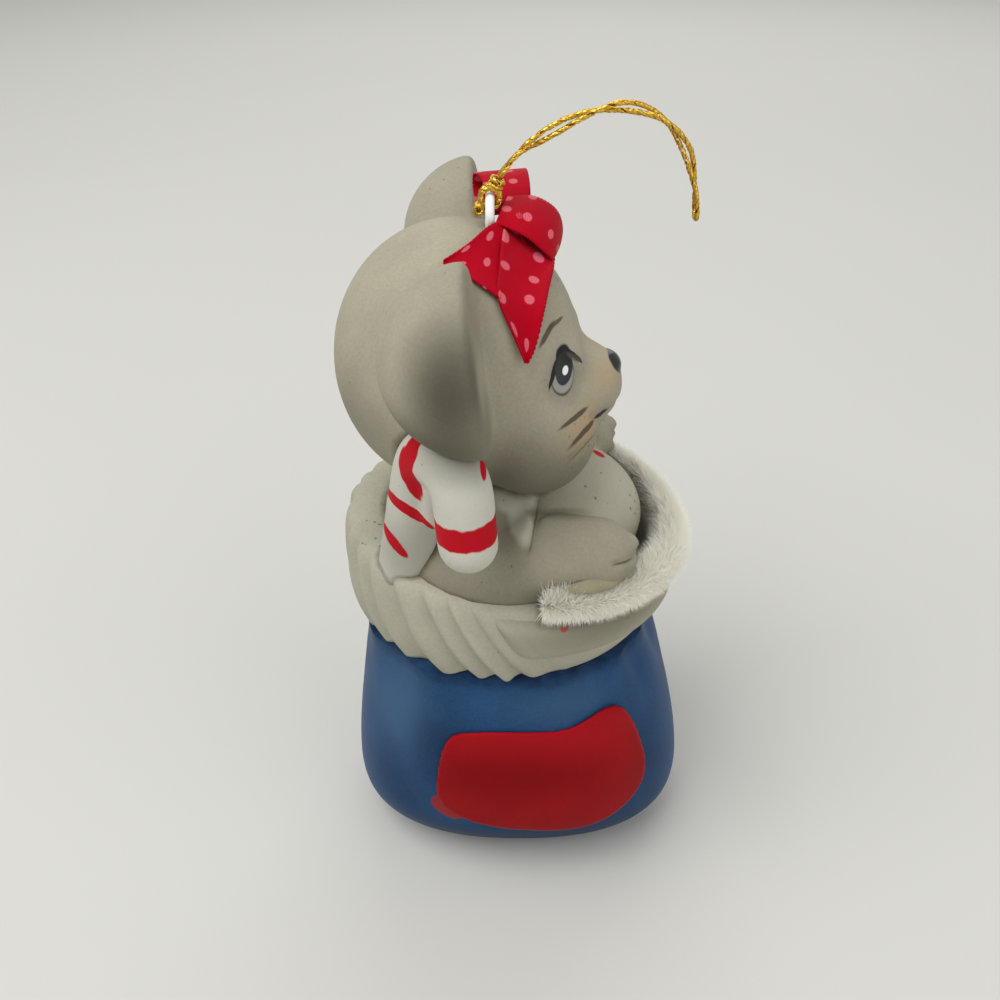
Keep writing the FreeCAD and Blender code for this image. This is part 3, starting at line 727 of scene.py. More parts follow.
def make_body():
    """Torso with its flanks, chest and arms blended softly, then the hands and fingers."""
    scene = bpy.context.scene
    form, finish = scene.ornament_form, scene.ornament_finish
    bm = bmesh.new()
    balls(bm, (0, 0, 0), BODY_FORMS)
    for side in (-1, 1):
        elbow, wrist = ((x, side * y, z) for x, y, z in ARM)
        bar(bm, elbow, wrist, *ARM_RADII)
    bm = loaded(cast(bm, COARSE * MM, BODY_ROUNDS))
    balls(bm, (0, 0, 0), HAND_FORMS)
    mesh = cast(bm, form.voxel, HAND_ROUNDS)
    for side in (-1, 1):
        for groove, width, depth in BODY_GROOVES:
            dent(mesh, [(x, side * y, z) for x, y, z in groove], width, depth)
    mark_nearness(mesh, SEAM_REACH, "sack_collar", "candy_cane", "mouse_head")
    material = painted_casting("Painted body", finish.stone, body_paint(finish))
    replaced = ("mouse_torso", "right_arm", "left_arm")
    finish_piece("body_and_arms", mesh, material, replaces=replaced)


def body_paint(finish):
    """Pale shoulder and chest, painted shade in the folds and creases, and the two red dots on the chest."""
    painted_shade, pale = finish.painted_shade, finish.pale
    return (
        shade_off(pale, (9.5, 0.0, 63.0), (8.0, 9.0, 5.0), 0.5),
        # Painted shade above the trim, under the arm, in the shoulder's crease and along the arm's top
        shade_off(painted_shade, (-8.0, -19.0, 59.5), (7.0, 4.0, 2.5), 0.3),
        shade_off(painted_shade, (6.0, -20.5, 58.6), (8.0, 2.6, 1.6), 0.35),
        stroke(pale, (-4.4, -10.8, 67.9), (2.0, -11.2, 67.6), 3.6, 0.3, 0.75, wobble=0.6),
        stroke(pale, (-1.4, -11.6, 67.2), (0.5, -18.0, 65.8), 3.0, 0.3, 0.75, wobble=0.6),
        stroke(painted_shade, (1.9, -10.6, 67.4), (0.6, -18.6, 65.6), 0.3, 0.6, 0.6),
        # Painted shade in the crease of the hand
        stroke(finish.grime_and_shade, (11.4, -19.1, 63.3), (13.7, -16.9, 62.6), 0.35, 0.5, 0.8),
        stroke(painted_shade, (1.4, -13.6, 67.3), (7.6, -9.8, 64.9), 0.9, 0.8, 0.45),
        (finish.red, (10.9, 3.2, 65.9), (0, 0, 0), (1.0, 1.1, 1.0), 0.2, 0.4, 0.95, 0.0),
        (finish.red, (11.3, 6.6, 65.0), (0, 0, 0), (0.7, 0.8, 0.7), 0.3, 0.4, 0.7, 0.0),
    )


# Sack

SACK_HEIGHT = 44.5
NECK_SHIFT = -2.2
# Level, then half widths along X and Y in millimetres
SACK_ROWS = (
    (0.00, 17.7, 11.1),
    (0.02, 20.9, 13.2),
    (0.07, 23.8, 15.1),
    (0.14, 25.7, 17.5),
    (0.24, 26.4, 19.8),
    (0.36, 26.1, 20.6),
    (0.50, 25.2, 20.8),
    (0.64, 24.0, 20.6),
    (0.78, 22.7, 20.3),
    (0.90, 21.5, 19.9),
    (1.00, 21.0, 19.6),
)
# Each crease's place round the sack and width in turns, then its depth in millimetres
SACK_CREASES = ((0.845, 0.012, 0.9), (0.895, 0.014, 0.7), (0.955, 0.016, 0.8), (0.08, 0.02, 0.7))
# Share of the height above which the cloth gathers
GATHER_SHARE = 0.62
SACK_SQUARENESS = 2.35
# Millimetres under the collar over which a painted shadow darkens the blue
SHADE_REACH = 5.0
VENT_X = -6
VENT_RADIUS = 1.6


def sack_fold(angle, level):
    """Outward lift of the cloth's gathers near the neck."""
    high = max(level - GATHER_SHARE, 0) / (1 - GATHER_SHARE)
    ridges = math.sin(angle * math.tau * 9 + 1.3) * 0.35 + math.sin(angle * math.tau * 14 + 0.4) * 0.2
    crease = 0
    for centre, width, depth in SACK_CREASES:
        crease -= depth * math.exp(-(((angle - centre - (1 - high) * 0.03) / width) ** 2))
    return (ridges + crease) * high**1.5


def sack_surface(angle, level):
    """Point of the sack's outside at an angle in turns and a level."""
    half_x, half_y = blended(SACK_ROWS, level)
    x, y = squared(half_x, half_y, SACK_SQUARENESS, angle)
    grow = 1 + sack_fold(angle, level) / math.hypot(x, y)
    return x * grow + NECK_SHIFT * level**2, y * grow, level * SACK_HEIGHT


# Rings of the sack's foot: shares from the vent to the foot's edge, then levels up the rounding
FOOT_SHARES = (0.4, 0.75, 1.0)
FOOT_LEVELS = (0.002, 0.006, 0.012, 0.02, 0.03, 0.042, 0.056)
SACK_RINGS = 96
SACK_COLUMNS = 288
VENT_DEPTH = 2.0
# Share of the neck that the sack's covered end draws in to, a millimetre above the neck
NECK_SHARE = 0.7


def make_sack():
    """Sack with a flat foot and its vent."""
    finish = bpy.context.scene.ornament_finish
    flat = len(FOOT_SHARES)
    curved = flat + len(FOOT_LEVELS)

    def place(across, along):
        ring = round(along * SACK_RINGS)
        if ring == 0:
            turn = across * math.tau
            return mm(VENT_X + VENT_RADIUS * math.cos(turn), VENT_RADIUS * math.sin(turn), VENT_DEPTH)
        if ring <= flat:
            share = FOOT_SHARES[ring - 1]
            x, y, _ = sack_surface(across, 0)
            return mm(x * share + VENT_X * (1 - share), y * share, 0)
        if ring >= SACK_RINGS - 1:
            x, y, z = sack_surface(across, 1)
            return mm(x * NECK_SHARE, y * NECK_SHARE, z + 1)
        if ring <= curved:
            return mm(*sack_surface(across, FOOT_LEVELS[ring - flat - 1]))
        climbed = (ring - curved) / (SACK_RINGS - 1 - curved)
        return mm(*sack_surface(across, FOOT_LEVELS[-1] + (1 - FOOT_LEVELS[-1]) * climbed))

    mesh = settled(closed_ring(sheet(SACK_COLUMNS, SACK_RINGS, place), capped=True), "sack")
    # Nearness to the collar, which the deep blue seam colour turns into a painted shadow under it
    mark_nearness(mesh, SHADE_REACH, "sack_collar")
    material = painted_casting(
        "Painted sack", finish.blue, sack_paint(finish), 0.42, 0.18, 0.2, 0.25, 0.9, seam_shade=finish.shade_blue
    )
    finish_piece("sack", mesh, material, replaces=("sack_body",))


def sack_paint(finish):
    """Painted light on the upper left and on the shoulder above the patch, painted shade round the patch and
    towards the bottom, and the red that ran past the patch's edge.
    """
    shade_blue, wear_and_light = finish.shade_blue, finish.blue_painted_light
    return (
        # Painted light on the upper left and on the shoulder above the patch
        shade_off(wear_and_light, (-18.0, -15.5, 34.0), (5.0, 6.0, 8.0), 0.45),
        shade_off(wear_and_light, (8.0, -19.5, 38.5), (10.0, 4.0, 3.0), 0.3),
        # Painted shade beside the patch, on the lower sides and along the bottom
        shade_off(shade_blue, (-12.0, -19.0, 29.0), (4.0, 4.0, 6.5), 0.55),
        shade_off(shade_blue, (-18.5, -15.5, 17.0), (5.0, 5.0, 6.0), 0.4),
        shade_off(shade_blue, (19.0, -14.0, 19.0), (5.0, 5.0, 9.0), 0.4),
        shade_off(shade_blue, (3.0, -18.0, 6.5), (22.0, 8.0, 5.0), 0.8),
        (finish.patch, (-10.9, -19.5, 16.4), (0, 35, 0), (3.0, 6.0, 2.4), 0.1, 0.6, 1.0, 0.3),
    )


def make_patch():
    """Raised pad with softened edges, from a merged copy of its solid."""
    finish = bpy.context.scene.ornament_finish
    bm = loaded(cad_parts["sack_patch"].data)
    bmesh.ops.remove_doubles(bm, verts=bm.verts, dist=0.001 * MM)
    mesh = cast(bm, 0.3 * MM, 16)
    # Painted light on the patch's upper part and painted shade in its middle and lower part
    ovals = (
        shade_off(finish.red, (3.0, -20.0, 33.0), (18.0, 6.0, 4.5), 0.5),
        shade_off(finish.patch_shade, (-2.0, -21.0, 25.5), (10.0, 6.0, 5.0), 0.6),
    )
    material = painted_casting("Painted patch", finish.patch, ovals, 0.4, 0.12, 0.1, 0.25, 0.3)
    finish_piece("patch", mesh, material, replaces=("sack_patch",))


# Collar

# Sizes in millimetres and the rim's tilt in degrees
COLLAR_HEIGHT = 12.4
COLLAR_TILT = 7.5
COLLAR_SLANT = Matrix.Rotation(math.radians(COLLAR_TILT), 3, "Y")
RIM_HEIGHT = SACK_HEIGHT + COLLAR_HEIGHT
RIM_ROLL = 0.5
NECK_HALVES = (21.0, 19.6)
RIM_FLARES = (1.2, 1.7)
COLLAR_BULGE = 1.3
COLLAR_SKIN = 0.2
TROUGH_HALVES = (19.0, 17.7)
TROUGH_DEPTH = 5
FLOOR_HALVES = (15.5, 15.0)
FOOT_RADIUS = 14
FOOT_HEIGHT = 45.2
# Shares along the section where its outside, rolled rim, trough wall and floor end and its foot starts
OUTSIDE_END = 0.6
ROLL_END = 0.72
TROUGH_END = 0.84
FLOOR_END = 0.904
FOOT_START = 0.952
# Degrees that the folds lean round the collar from its rim to its foot
FOLD_SLANT = 20
# Share of the height, then the share of the bulge there
COLLAR_SWELL_SHARES = ((0.00, 0.00), (0.22, 0.75), (0.48, 1.00), (0.76, 0.70), (0.93, 0.25), (1.00, -0.30))


def fold_height(from_back):
    """Asymmetric gathers of the collar, from 0 in front to full height at the back."""
    fade = min(max((96 - abs(from_back)) / 24, 0), 1)
    phase = (from_back + 180) / 360 * bpy.context.scene.ornament_form.fold_count
    phase += 0.18 * math.sin(phase * 1.7 + 0.3)
    number = math.floor(phase)
    part = phase - number
    size = 0.75 + 0.45 * noise.noise(Vector((number * 3.7, 0.5, 0.2)))
    ridge = 0.5 - 0.5 * math.cos(math.tau * part**0.72)
    return fade * size * (ridge**0.8 - 0.5)


def collar_point(turn, share, lift=0.0):
    """Point of the collar at degrees from the back, on a plane that tilts as it climbs."""
    swell = blended(COLLAR_SWELL_SHARES, share)[0] * COLLAR_BULGE + COLLAR_SKIN + lift
    half_x, half_y = (neck + flare * share + swell for neck, flare in zip(NECK_HALVES, RIM_FLARES))
    slanted = turn + FOLD_SLANT * (1 - share) * math.sin(math.radians(turn))
    ease = 1 - 0.5 * share**3
    fold_rise = bpy.context.scene.ornament_form.fold_rise / MM
    rise = fold_height(turn if turn <= 180 else turn - 360) * fold_rise * ease
    x, y = squared(half_x + rise, half_y + rise, 2, 0.5 + slanted / 360)
    x += NECK_SHIFT
    droop = 0.45 * max(rise, 0) * max(0.25 - share, 0) / 0.25
    return x, y, SACK_HEIGHT + share * COLLAR_HEIGHT - math.tan(math.radians(COLLAR_TILT * share)) * x - droop


def rim_point(half_x, half_y, turn, drop=0):
    """Point at degrees from the back on an oval in the rim's tilted plane, or below it."""
    angle = math.radians(turn + 180)
    place = Vector((half_x * math.cos(angle), half_y * math.sin(angle), -drop))
    return COLLAR_SLANT @ place + Vector((0, 0, RIM_HEIGHT))


def make_collar():
    """Gathered collar: outside, rolled rim, trough and hidden foot, as one closed ring."""
    finish = bpy.context.scene.ornament_finish

    def place(across, along):
        turn = across * 360
        if along <= OUTSIDE_END:
            return mm(*collar_point(turn, along / OUTSIDE_END))
        inner, deep = rim_point(*TROUGH_HALVES, turn), rim_point(*TROUGH_HALVES, turn, TROUGH_DEPTH)
        if along <= ROLL_END:
            roll = (along - OUTSIDE_END) / (ROLL_END - OUTSIDE_END)
            crest = COLLAR_SLANT @ Vector((0, 0, RIM_ROLL)) * math.sin(math.pi * roll)
            return (Vector(collar_point(turn, 1)).lerp(inner, roll) + crest) * MM
        if along <= TROUGH_END:
            return inner.lerp(deep, (along - ROLL_END) / (TROUGH_END - ROLL_END)) * MM
        middle = rim_point(*FLOOR_HALVES, turn, TROUGH_DEPTH)
        angle = math.radians(turn + 180)
        low = Vector((FOOT_RADIUS * math.cos(angle), FOOT_RADIUS * math.sin(angle), FOOT_HEIGHT))
        if along < FLOOR_END:
            return deep.lerp(middle, (along - TROUGH_END) / (FLOOR_END - TROUGH_END)) * MM
        if along < FOOT_START:
            return middle.lerp(low, (along - FLOOR_END) / (FOOT_START - FLOOR_END)) * MM
        return low.lerp(Vector(collar_point(turn, 0)), (along - FOOT_START) / (1 - FOOT_START)) * MM

    mesh = settled(closed_ring(sheet(1020, 60, place)), "collar")
    mark_nearness(mesh, SEAM_REACH, "mouse_torso", "candy_cane", "chenille_trim")
    material = painted_casting("Painted collar", finish.cream, collar_paint(finish), mottle=0.08)
    finish_piece("collar", mesh, material, replaces=("sack_collar",))


def collar_paint(finish):
    """One red fleck near the trim's cut end."""
    return ((finish.red, (5.04, -21.9, 54.93), (0, 0, 0), (0.5, 1.2, 0.35), 0.3, 0.3, 0.7, 0.0),)


def hem_paint(finish):
    """Darker grey over the smooth front's sides, under the trim, and a red fleck."""
    grey = finish.hem_darker_grey
    return (
        shade_off(grey, (10.0, -18.0, 54.0), (13.0, 12.0, 3.4), 0.9),
        shade_off(grey, (10.0, 18.0, 54.0), (13.0, 12.0, 3.4), 0.9),
        *collar_paint(finish),
    )


# Degrees from the back where the hem starts, degrees over which it rises, and millimetres that its ends sink
HEM_START = 82
HEM_TAPER = 7
HEM_SUNK = 0.9
# Share round the hem's section, share of the collar's height, then lift off the collar in millimetres
HEM_OUTLINE = (
    (0.00, 0.44, -0.6),
    (0.12, 0.47, 0.75),
    (0.24, 0.53, 1.25),
    (0.42, 0.64, 1.4),
    (0.58, 0.76, 1.35),
    (0.72, 0.87, 1.1),
    (0.82, 0.93, 0.3),
    (0.92, 0.90, -0.9),
    (1.00, 0.44, -0.6),
)


def make_hem():
    """Smooth band that lies over the collar's front."""
    finish = bpy.context.scene.ornament_finish
    sweep = 360 - 2 * HEM_START

    def place(across, along):
        share, lift = blended(HEM_OUTLINE, along)
        from_end = min(across, 1 - across) * sweep
        rise = math.sin(math.pi / 2 * min(1, from_end / HEM_TAPER)) ** 0.7
        return mm(*collar_point(HEM_START + sweep * across, share, -HEM_SUNK + (lift + HEM_SUNK) * rise))

    mesh = settled(closed_ring(sheet(300, 48, place), capped=True), "hem")
    mark_nearness(mesh, SEAM_REACH, "chenille_trim")
    material = painted_casting("Painted hem", finish.cream, hem_paint(finish), mottle=0.08)
    finish_piece("hem", mesh, material, replaces=("collar_hem",))


# Cane

# Foot, two top corners and tip of the cane
CANE = ((-16.3, -12.2, 56.2), (-12.1, -17.2, 79.4), (-7.48, -23.6, 79.4), (-6.96, -24.34, 68.5))
CANE_RADIUS = 3.6


def make_cane():
    """Cane swept along its crook, with a rounded tip and the slip that joins the crook to the stick."""
    finish = bpy.context.scene.ornament_finish
    foot, left, right, tip = (Vector(point) for point in CANE)
    route = (
        foot,
        foot.lerp(left, 0.4),
        foot.lerp(left, 0.78),
        left + Vector((0.2, -0.4, 0.6)),
        right + Vector((-0.2, 0.4, 0.6)),
        tip.lerp(right, 0.6),
        tip.lerp(right, 0.35),
        tip + Vector((0, 0, 2.4)),
    )
    bm = loaded(nurbs_mesh([place * MM for place in route], 4, 40, CANE_RADIUS * MM, 14))
    bmesh.ops.remove_doubles(bm, verts=bm.verts, dist=0.01 * MM)
    ball(bm, tuple(tip + Vector((0, 0, 2.3))), (CANE_RADIUS, CANE_RADIUS, 3.5))
    bar(bm, (-11.0, -18.8, 71.0), (-10.0, -20.2, 78.0), 1.9, 2.6)
    mesh = cast(bm, 0.35 * MM, 6)
    mark_nearness(mesh, 1.2, "mouse_torso", "mouse_head", "sack_collar", "right_ear")
    material = painted_casting(
        "Painted cane", finish.white, cane_paint(finish), rough=0.6, mottle=0.03, specks=0.3, dust_and_shade=0.6
    )
    finish_piece("cane", mesh, material, replaces=("candy_cane",))


def cane_paint(finish):
    """Hand-painted stripes that wind round the stick."""
    red, painted_shade = finish.red, finish.painted_shade
    return (
        # Painted shade on the stick low down beside the body, and on the crook's end under the ear
        shade_off(painted_shade, (-16.0, -16.5, 64.0), (4.0, 4.0, 5.0), 0.25),
        shade_off(painted_shade, (-7.2, -24.5, 81.5), (5.0, 5.0, 1.6), 0.3),
        stroke(red, (-12.3, -20.2, 83.6), (-14.7, -20.1, 77.0), 2.1, 0.07, wobble=0.4),
        stroke(red, (-14.3, -20.2, 80.2), (-12.7, -20.3, 73.9), 2.1, 0.07, wobble=0.4),
        stroke(red, (-14.2, -20.1, 81.2), (-14.1, -20.2, 76.2), 2.0, 0.07, wobble=0.3),
        stroke(red, (-17.6, -15.9, 73.0), (-11.2, -20.7, 70.2), 1.5, 0.07, wobble=0.4),
        stroke(red, (-18.2, -15.2, 67.2), (-15.0, -17.6, 63.2), 1.5, 0.07, wobble=0.4),
        stroke(red, (-5.4, -22.6, 82.4), (-4.9, -23.6, 79.4), 0.6, 0.1, wobble=0.2),
        (red, (-7.0, -24.3, 73.55), (3, -3, 0), (6.0, 6.0, 1.85), 0.06, 0.7, 1.0, 0.0),
        (finish.white, (-7.5, -27.7, 75.5), (0, 0, 0), (0.8, 1.5, 0.75), 0.2, 0.3, 0.9, 0.0),
        (finish.white, (-11.3, -20.6, 73.9), (0, 0, 0), (1.3, 1.7, 2.0), 0.15, 0.2, 1.0, 0.0),
    )


# Hanging eye and cord

PIVOT = Vector((-4.4, 0.0, 103.855))
EYE_RADIUS = 1.9
EYE_CENTRE = PIVOT - Vector((0, 0, EYE_RADIUS))
# Points of the cord's route in millimetres, measured from the pivot
CORD_ROUTE = (
    (1.14, 0.55, 2.34),
    (2.75, 0.62, 4.80),
    (6.90, 0.00, 6.80),
    (11.10, -0.62, 9.60),
    (15.70, 0.00, 11.20),
    (20.10, 0.62, 9.00),
    (22.50, 0.05, 5.10),
    (24.10, -0.80, 1.30),
    (24.50, -0.95, -0.70),
    (24.60, -0.95, -2.50),
    (24.60, 0.95, -2.50),
    (24.55, 0.95, -0.60),
    (24.20, 0.80, 1.40),
    (23.45, -0.05, 5.70),
    (20.05, -0.62, 9.10),
    (15.80, 0.00, 9.90),
    (11.00, 0.62, 9.75),
    (6.30, 0.00, 7.90),
    (2.70, -0.62, 4.90),
    (1.14, -0.55, 2.34),
)


def carried_frames(path):
    """Tangent and side directions along a path, carried without twist."""
    frames = []
    side = None
    for index in range(len(path)):
        ahead = path[min(index + 1, len(path) - 1)] - path[max(index - 1, 0)]
        ahead.normalize()
        if side is None:
            side = ahead.orthogonal().normalized()
        side = (side - ahead * side.dot(ahead)).normalized()
        frames.append((ahead, side, ahead.cross(side)))
    return frames


def run_lengths(path):
    """Length of a path up to each of its points."""
    lengths = [0.0]
    for before, after in zip(path, path[1:]):
        lengths.append(lengths[-1] + (after - before).length)
    return lengths


def extruded_rings(bm, sides, count):
    """Rings of a new open tube in order, each with its points in the same order round it."""
    ring = bmesh.ops.create_circle(bm, segments=sides, radius=1, cap_ends=False)["verts"]
    edges = list({edge for vert in ring for edge in vert.link_edges})
    rings = [ring]
    for _ in range(count - 1):
        made = bmesh.ops.extrude_edge_only(bm, edges=edges)["geom"]
        edges = [item for item in made if isinstance(item, bmesh.types.BMEdge)]
        fresh = {item for item in made if isinstance(item, bmesh.types.BMVert)}
        ring = [
            next(edge.other_vert(vert) for edge in vert.link_edges if edge.other_vert(vert) in fresh)
            for vert in ring
        ]
        rings.append(ring)
    return rings


# Sides of a strand, and its reach from the middle and its half width as shares of the cord's diameter
STRAND_SIDES = 6
STRAND_REACH_SHARE = 0.26
STRAND_WIDTH_SHARE = 0.30
STRAND_FLATNESS_SHARE = 0.6


def strand_cord(bm, path, diameter, strands, pitch, seed=1):
    """Adds strands of foil that wind round a path."""
    frames = carried_frames(path)
    spots = run_lengths(path)
    draw = random.Random(seed)
    reach = diameter * STRAND_REACH_SHARE
    width = diameter * STRAND_WIDTH_SHARE
    corners = [math.tau * corner / STRAND_SIDES for corner in range(STRAND_SIDES)]
    shape = [(math.cos(corner), math.sin(corner)) for corner in corners]
    for strand in range(strands):
        phase = strand / strands + draw.uniform(-0.03, 0.03)
        tightness = draw.uniform(0.9, 1.12)
        rings = extruded_rings(bm, STRAND_SIDES, len(path))
        for ring, place, (ahead, side, up), spot in zip(rings, path, frames, spots):
            angle = math.tau * (phase + spot * tightness / pitch)
            out = side * math.cos(angle) + up * math.sin(angle)
            across = ahead.cross(out)
            centre = place + out * reach * (1 + 0.25 * math.sin(spot / pitch * 5.3 + strand * 2.1))
            for vert, (c, s) in zip(ring, shape):
                vert.co = centre + out * (s * width * STRAND_FLATNESS_SHARE * 0.5) + across * (c * width)
        bmesh.ops.contextual_create(bm, geom=rings[0])
        bmesh.ops.contextual_create(bm, geom=rings[-1])


def round_path(centre, first, second, steps):
    """Closed round path through two crossing radii, in millimetres."""
    turns = [math.tau * step / steps for step in range(steps + 1)]
    return [(centre + first * math.cos(turn) + second * math.sin(turn)) * MM for turn in turns]


def make_cord():
    """Hanging cord of wound foil strands."""
    form, finish = bpy.context.scene.ornament_form, bpy.context.scene.ornament_finish
    route = [(PIVOT + Vector(point)) * MM for point in CORD_ROUTE]
    line = nurbs_mesh(route, 3, 12)
    path = [vert.co.copy() for vert in line.vertices]
    bm = bmesh.new()
    strand_cord(bm, path, form.cord_diameter, 5, 2.6 * MM)
    bmesh.ops.recalc_face_normals(bm, faces=bm.faces)
    gold = gold_foil(finish)
    cord = finish_piece("cord_strands", settled(bm, "cord"), gold, CORD_LOOP, ("hanging_cord",))
    span = run_lengths(path)[-1]
    [tuple(place) for place in path]
    make_hitch(gold)


# Radius and spacing of the hitch's turns on the eye, of the bundle's laps and of the lashing, in millimetres
TURN_RADIUS = 1.15
TURN_SPACING = 1.1
LAP_RADIUS = 0.5
LAP_SPACING = 0.44
LASHING_RADIUS = 0.72
LASHING_SPACING = 0.7
# First lashing's distance from the pivot, and the slope that the cord leaves at in degrees
LASHING_START = 1.5
CORD_SLOPE = 64
BUNDLE = Vector((-1.35, 0, -1.4))


def make_hitch(gold):
    """Two turns on the eye, the bundle behind them and the lashing round the cord's neck."""
    ahead, up, across = Vector((1, 0, 0)), Vector((0, 0, 1)), Vector((0, 1, 0))
    bm = bmesh.new()
    for side in (-1, 1):
        centre = PIVOT + across * side * TURN_SPACING / 2
        turn = round_path(centre, ahead * TURN_RADIUS, up * TURN_RADIUS, 40)
        strand_cord(bm, turn, 0.8 * MM, 5, 1.9 * MM, seed=3 + side)
    for lap in range(4):
        centre = PIVOT + BUNDLE + across * (lap - 1.5) * LAP_SPACING
        turn = round_path(centre, ahead * LAP_RADIUS, up * LAP_RADIUS, 32)
        strand_cord(bm, turn, 0.66 * MM, 4, 1.5 * MM, seed=7 + lap)
    climb = math.radians(CORD_SLOPE)
    out = Vector((math.cos(climb), 0, math.sin(climb)))
    aside = Vector((-out.z, 0, out.x))
    for lap in range(2):
        centre = PIVOT + out * (LASHING_START + LASHING_SPACING * lap)
        turn = round_path(centre, aside * LASHING_RADIUS, across * LASHING_RADIUS, 32)
        strand_cord(bm, turn, 0.7 * MM, 4, 1.6 * MM, seed=11 + lap)
    bmesh.ops.recalc_face_normals(bm, faces=bm.faces)
    finish_piece("hitch_strands", settled(bm, "hitch"), gold, CORD_LOOP, ("cord_hitch",))


def gold_foil(finish):
    """Crumpled gold foil."""
    material, tree, shader = new_material("Gold foil", Metallic=1.0, Roughness=0.34)
    cells = {"Vector": object_place(tree), "Scale": 2400.0}
    flakes = node(tree, "ShaderNodeTexVoronoi", cells).outputs["Distance"]
    shade = ranged(tree, flakes, 0.0, 0.9, 1.0, 0.55)
    tree.links.new(mixed(tree, 1.0, finish.gold, shade, "MULTIPLY"), shader.inputs["Base Color"])
    bumped(tree, shader, flakes, 0.5, 0.05)
    return material


def make_eye():
    """Pale ring on the crown that the cord is hitched to."""
    form, finish = bpy.context.scene.ornament_form, bpy.context.scene.ornament_finish
    bm = bmesh.new()
    upright = Matrix.Translation(PIVOT * MM) @ Matrix.Rotation(math.radians(90), 4, "X")
    verts = bmesh.ops.create_circle(bm, segments=20, radius=form.eye_wire, matrix=upright)["verts"]
    edges = list({edge for vert in verts for edge in vert.link_edges})
    bmesh.ops.spin(
        bm, geom=verts + edges, cent=EYE_CENTRE * MM, axis=(1, 0, 0), angle=math.tau, steps=48, use_merge=True
    )
    bmesh.ops.recalc_face_normals(bm, faces=bm.faces)
    material = painted_casting("Painted eye ring", finish.glint, (), rough=0.45, specks=0.2, dust_and_shade=0.0)
    finish_piece("eye_ring", settled(bm, "eye"), material, replaces=("hanging_eye",))


# Trim

# Radius, place along X and lift of the trim's core, and one turn of its wire, in millimetres
TRIM_RADIUS = 21.4
TRIM_CENTRE_X = 0.4
TRIM_LIFT = 1.9
TWIST_PITCH = 2.5
# Degrees from the front to each end of the trim
TRIM_SWEEP = 85.0
TRIM_SPAN = 2 * math.radians(TRIM_SWEEP) * TRIM_RADIUS


def trim_frame(share):
    """Place and directions of the trim's core at a share of its length, in metres."""
    angle = math.radians(-TRIM_SWEEP + 2 * TRIM_SWEEP * share)
    c, s = math.cos(angle), math.sin(angle)
    place = COLLAR_SLANT @ Vector((TRIM_CENTRE_X + TRIM_RADIUS * c, TRIM_RADIUS * s, TRIM_LIFT))
    directions = (COLLAR_SLANT @ Vector(way) for way in ((-s, c, 0), (c, s, 0), (0, 0, 1)))
    return (place + Vector((0, 0, RIM_HEIGHT))) * MM, *directions


# Spread of the fibres round their row in radians, and how far they lean along and across, as shares
ROW_SPREAD = 0.85
LEAN_ALONG = 0.26
LEAN_ACROSS = 0.24
# Middle, spread and top of a fibre's length and the bounds of its width, as shares of the full ones
LENGTH_MIDDLE = 0.87
LENGTH_SPREAD = 0.12
LENGTH_TOP = 1.05
WIDTH_BOUNDS = (0.7, 1.2)
# Added length of the fibres that fold over the collar's inside, and the share where a fibre's root lies
INNER_GROWTH = 0.75
ROOT_SHARE = 0.1
# Darkness of the core: painted shade of the pile's depth, with some dust
CORE_DUST_AND_SHADE = 0.7


def twist(share):
    """Turn of the core's wires at a share of its length, in radians."""
    return share * TRIM_SPAN / TWIST_PITCH * math.tau


def make_trim():
    """Pile of fine fibres that stand round a twisted core."""
    form = bpy.context.scene.ornament_form
    material = pile_material(bpy.context.scene.ornament_finish)
    draw = random.Random(5)
    bm = bmesh.new()
    bmesh.ops.create_cone(bm, cap_ends=True, segments=3, radius1=1, radius2=0, depth=1)
    single = settled(bm, "fibre")
    spacing = {"count": form.fibre_count, "use_relative_offset": False, "use_merge_vertices": False}
    pile = evaluated(single, ("ARRAY", spacing))
    corners = [vert.co.copy() for vert in single.vertices]
    coordinates = []
    dust_and_shade = []
    for _ in range(form.fibre_count):
        share = draw.random()
        place, along, out, up = trim_frame(share)
        turn = draw.randrange(2) * math.pi + twist(share) + draw.gauss(0, ROW_SPREAD)
        radial = out * math.cos(turn) + up * math.sin(turn)
        lean = radial + along * draw.gauss(0, LEAN_ALONG) + along.cross(radial) * draw.gauss(0, LEAN_ACROSS)
        lean.normalize()
        inner = max(0.0, -radial.dot(out))
        reach = form.fibre_reach * min(LENGTH_TOP, draw.gauss(LENGTH_MIDDLE, LENGTH_SPREAD))
        reach *= 1 + INNER_GROWTH * inner * max(0.0, 0.4 + radial.dot(up))
        root = place + radial * form.fibre_reach * ROOT_SHARE
        tip = place + lean * reach
        side = lean.orthogonal().normalized()
        other = lean.cross(side)
        width = form.fibre_width * draw.uniform(*WIDTH_BOUNDS)
        # Fibres darken towards their roots and where they fold over the collar's inside: painted shade of the
        # pile's depth, with some dust
        inward = draw.random() * (1.1 * inner**2 + 0.06)
        for corner in corners:
            height = corner.z + 0.5
            coordinates.extend(root.lerp(tip, height) + (side * corner.x + other * corner.y) * width)
            dust_and_shade.append(inward + 0.1 * (1 - height))
    pile.vertices.foreach_set("co", coordinates)
    mark_points(pile, dust_and_shade)
    pile.update()
    finish_piece("trim_pile", pile, material, replaces=("chenille_trim",), smooth=False)
    make_core(form, material)


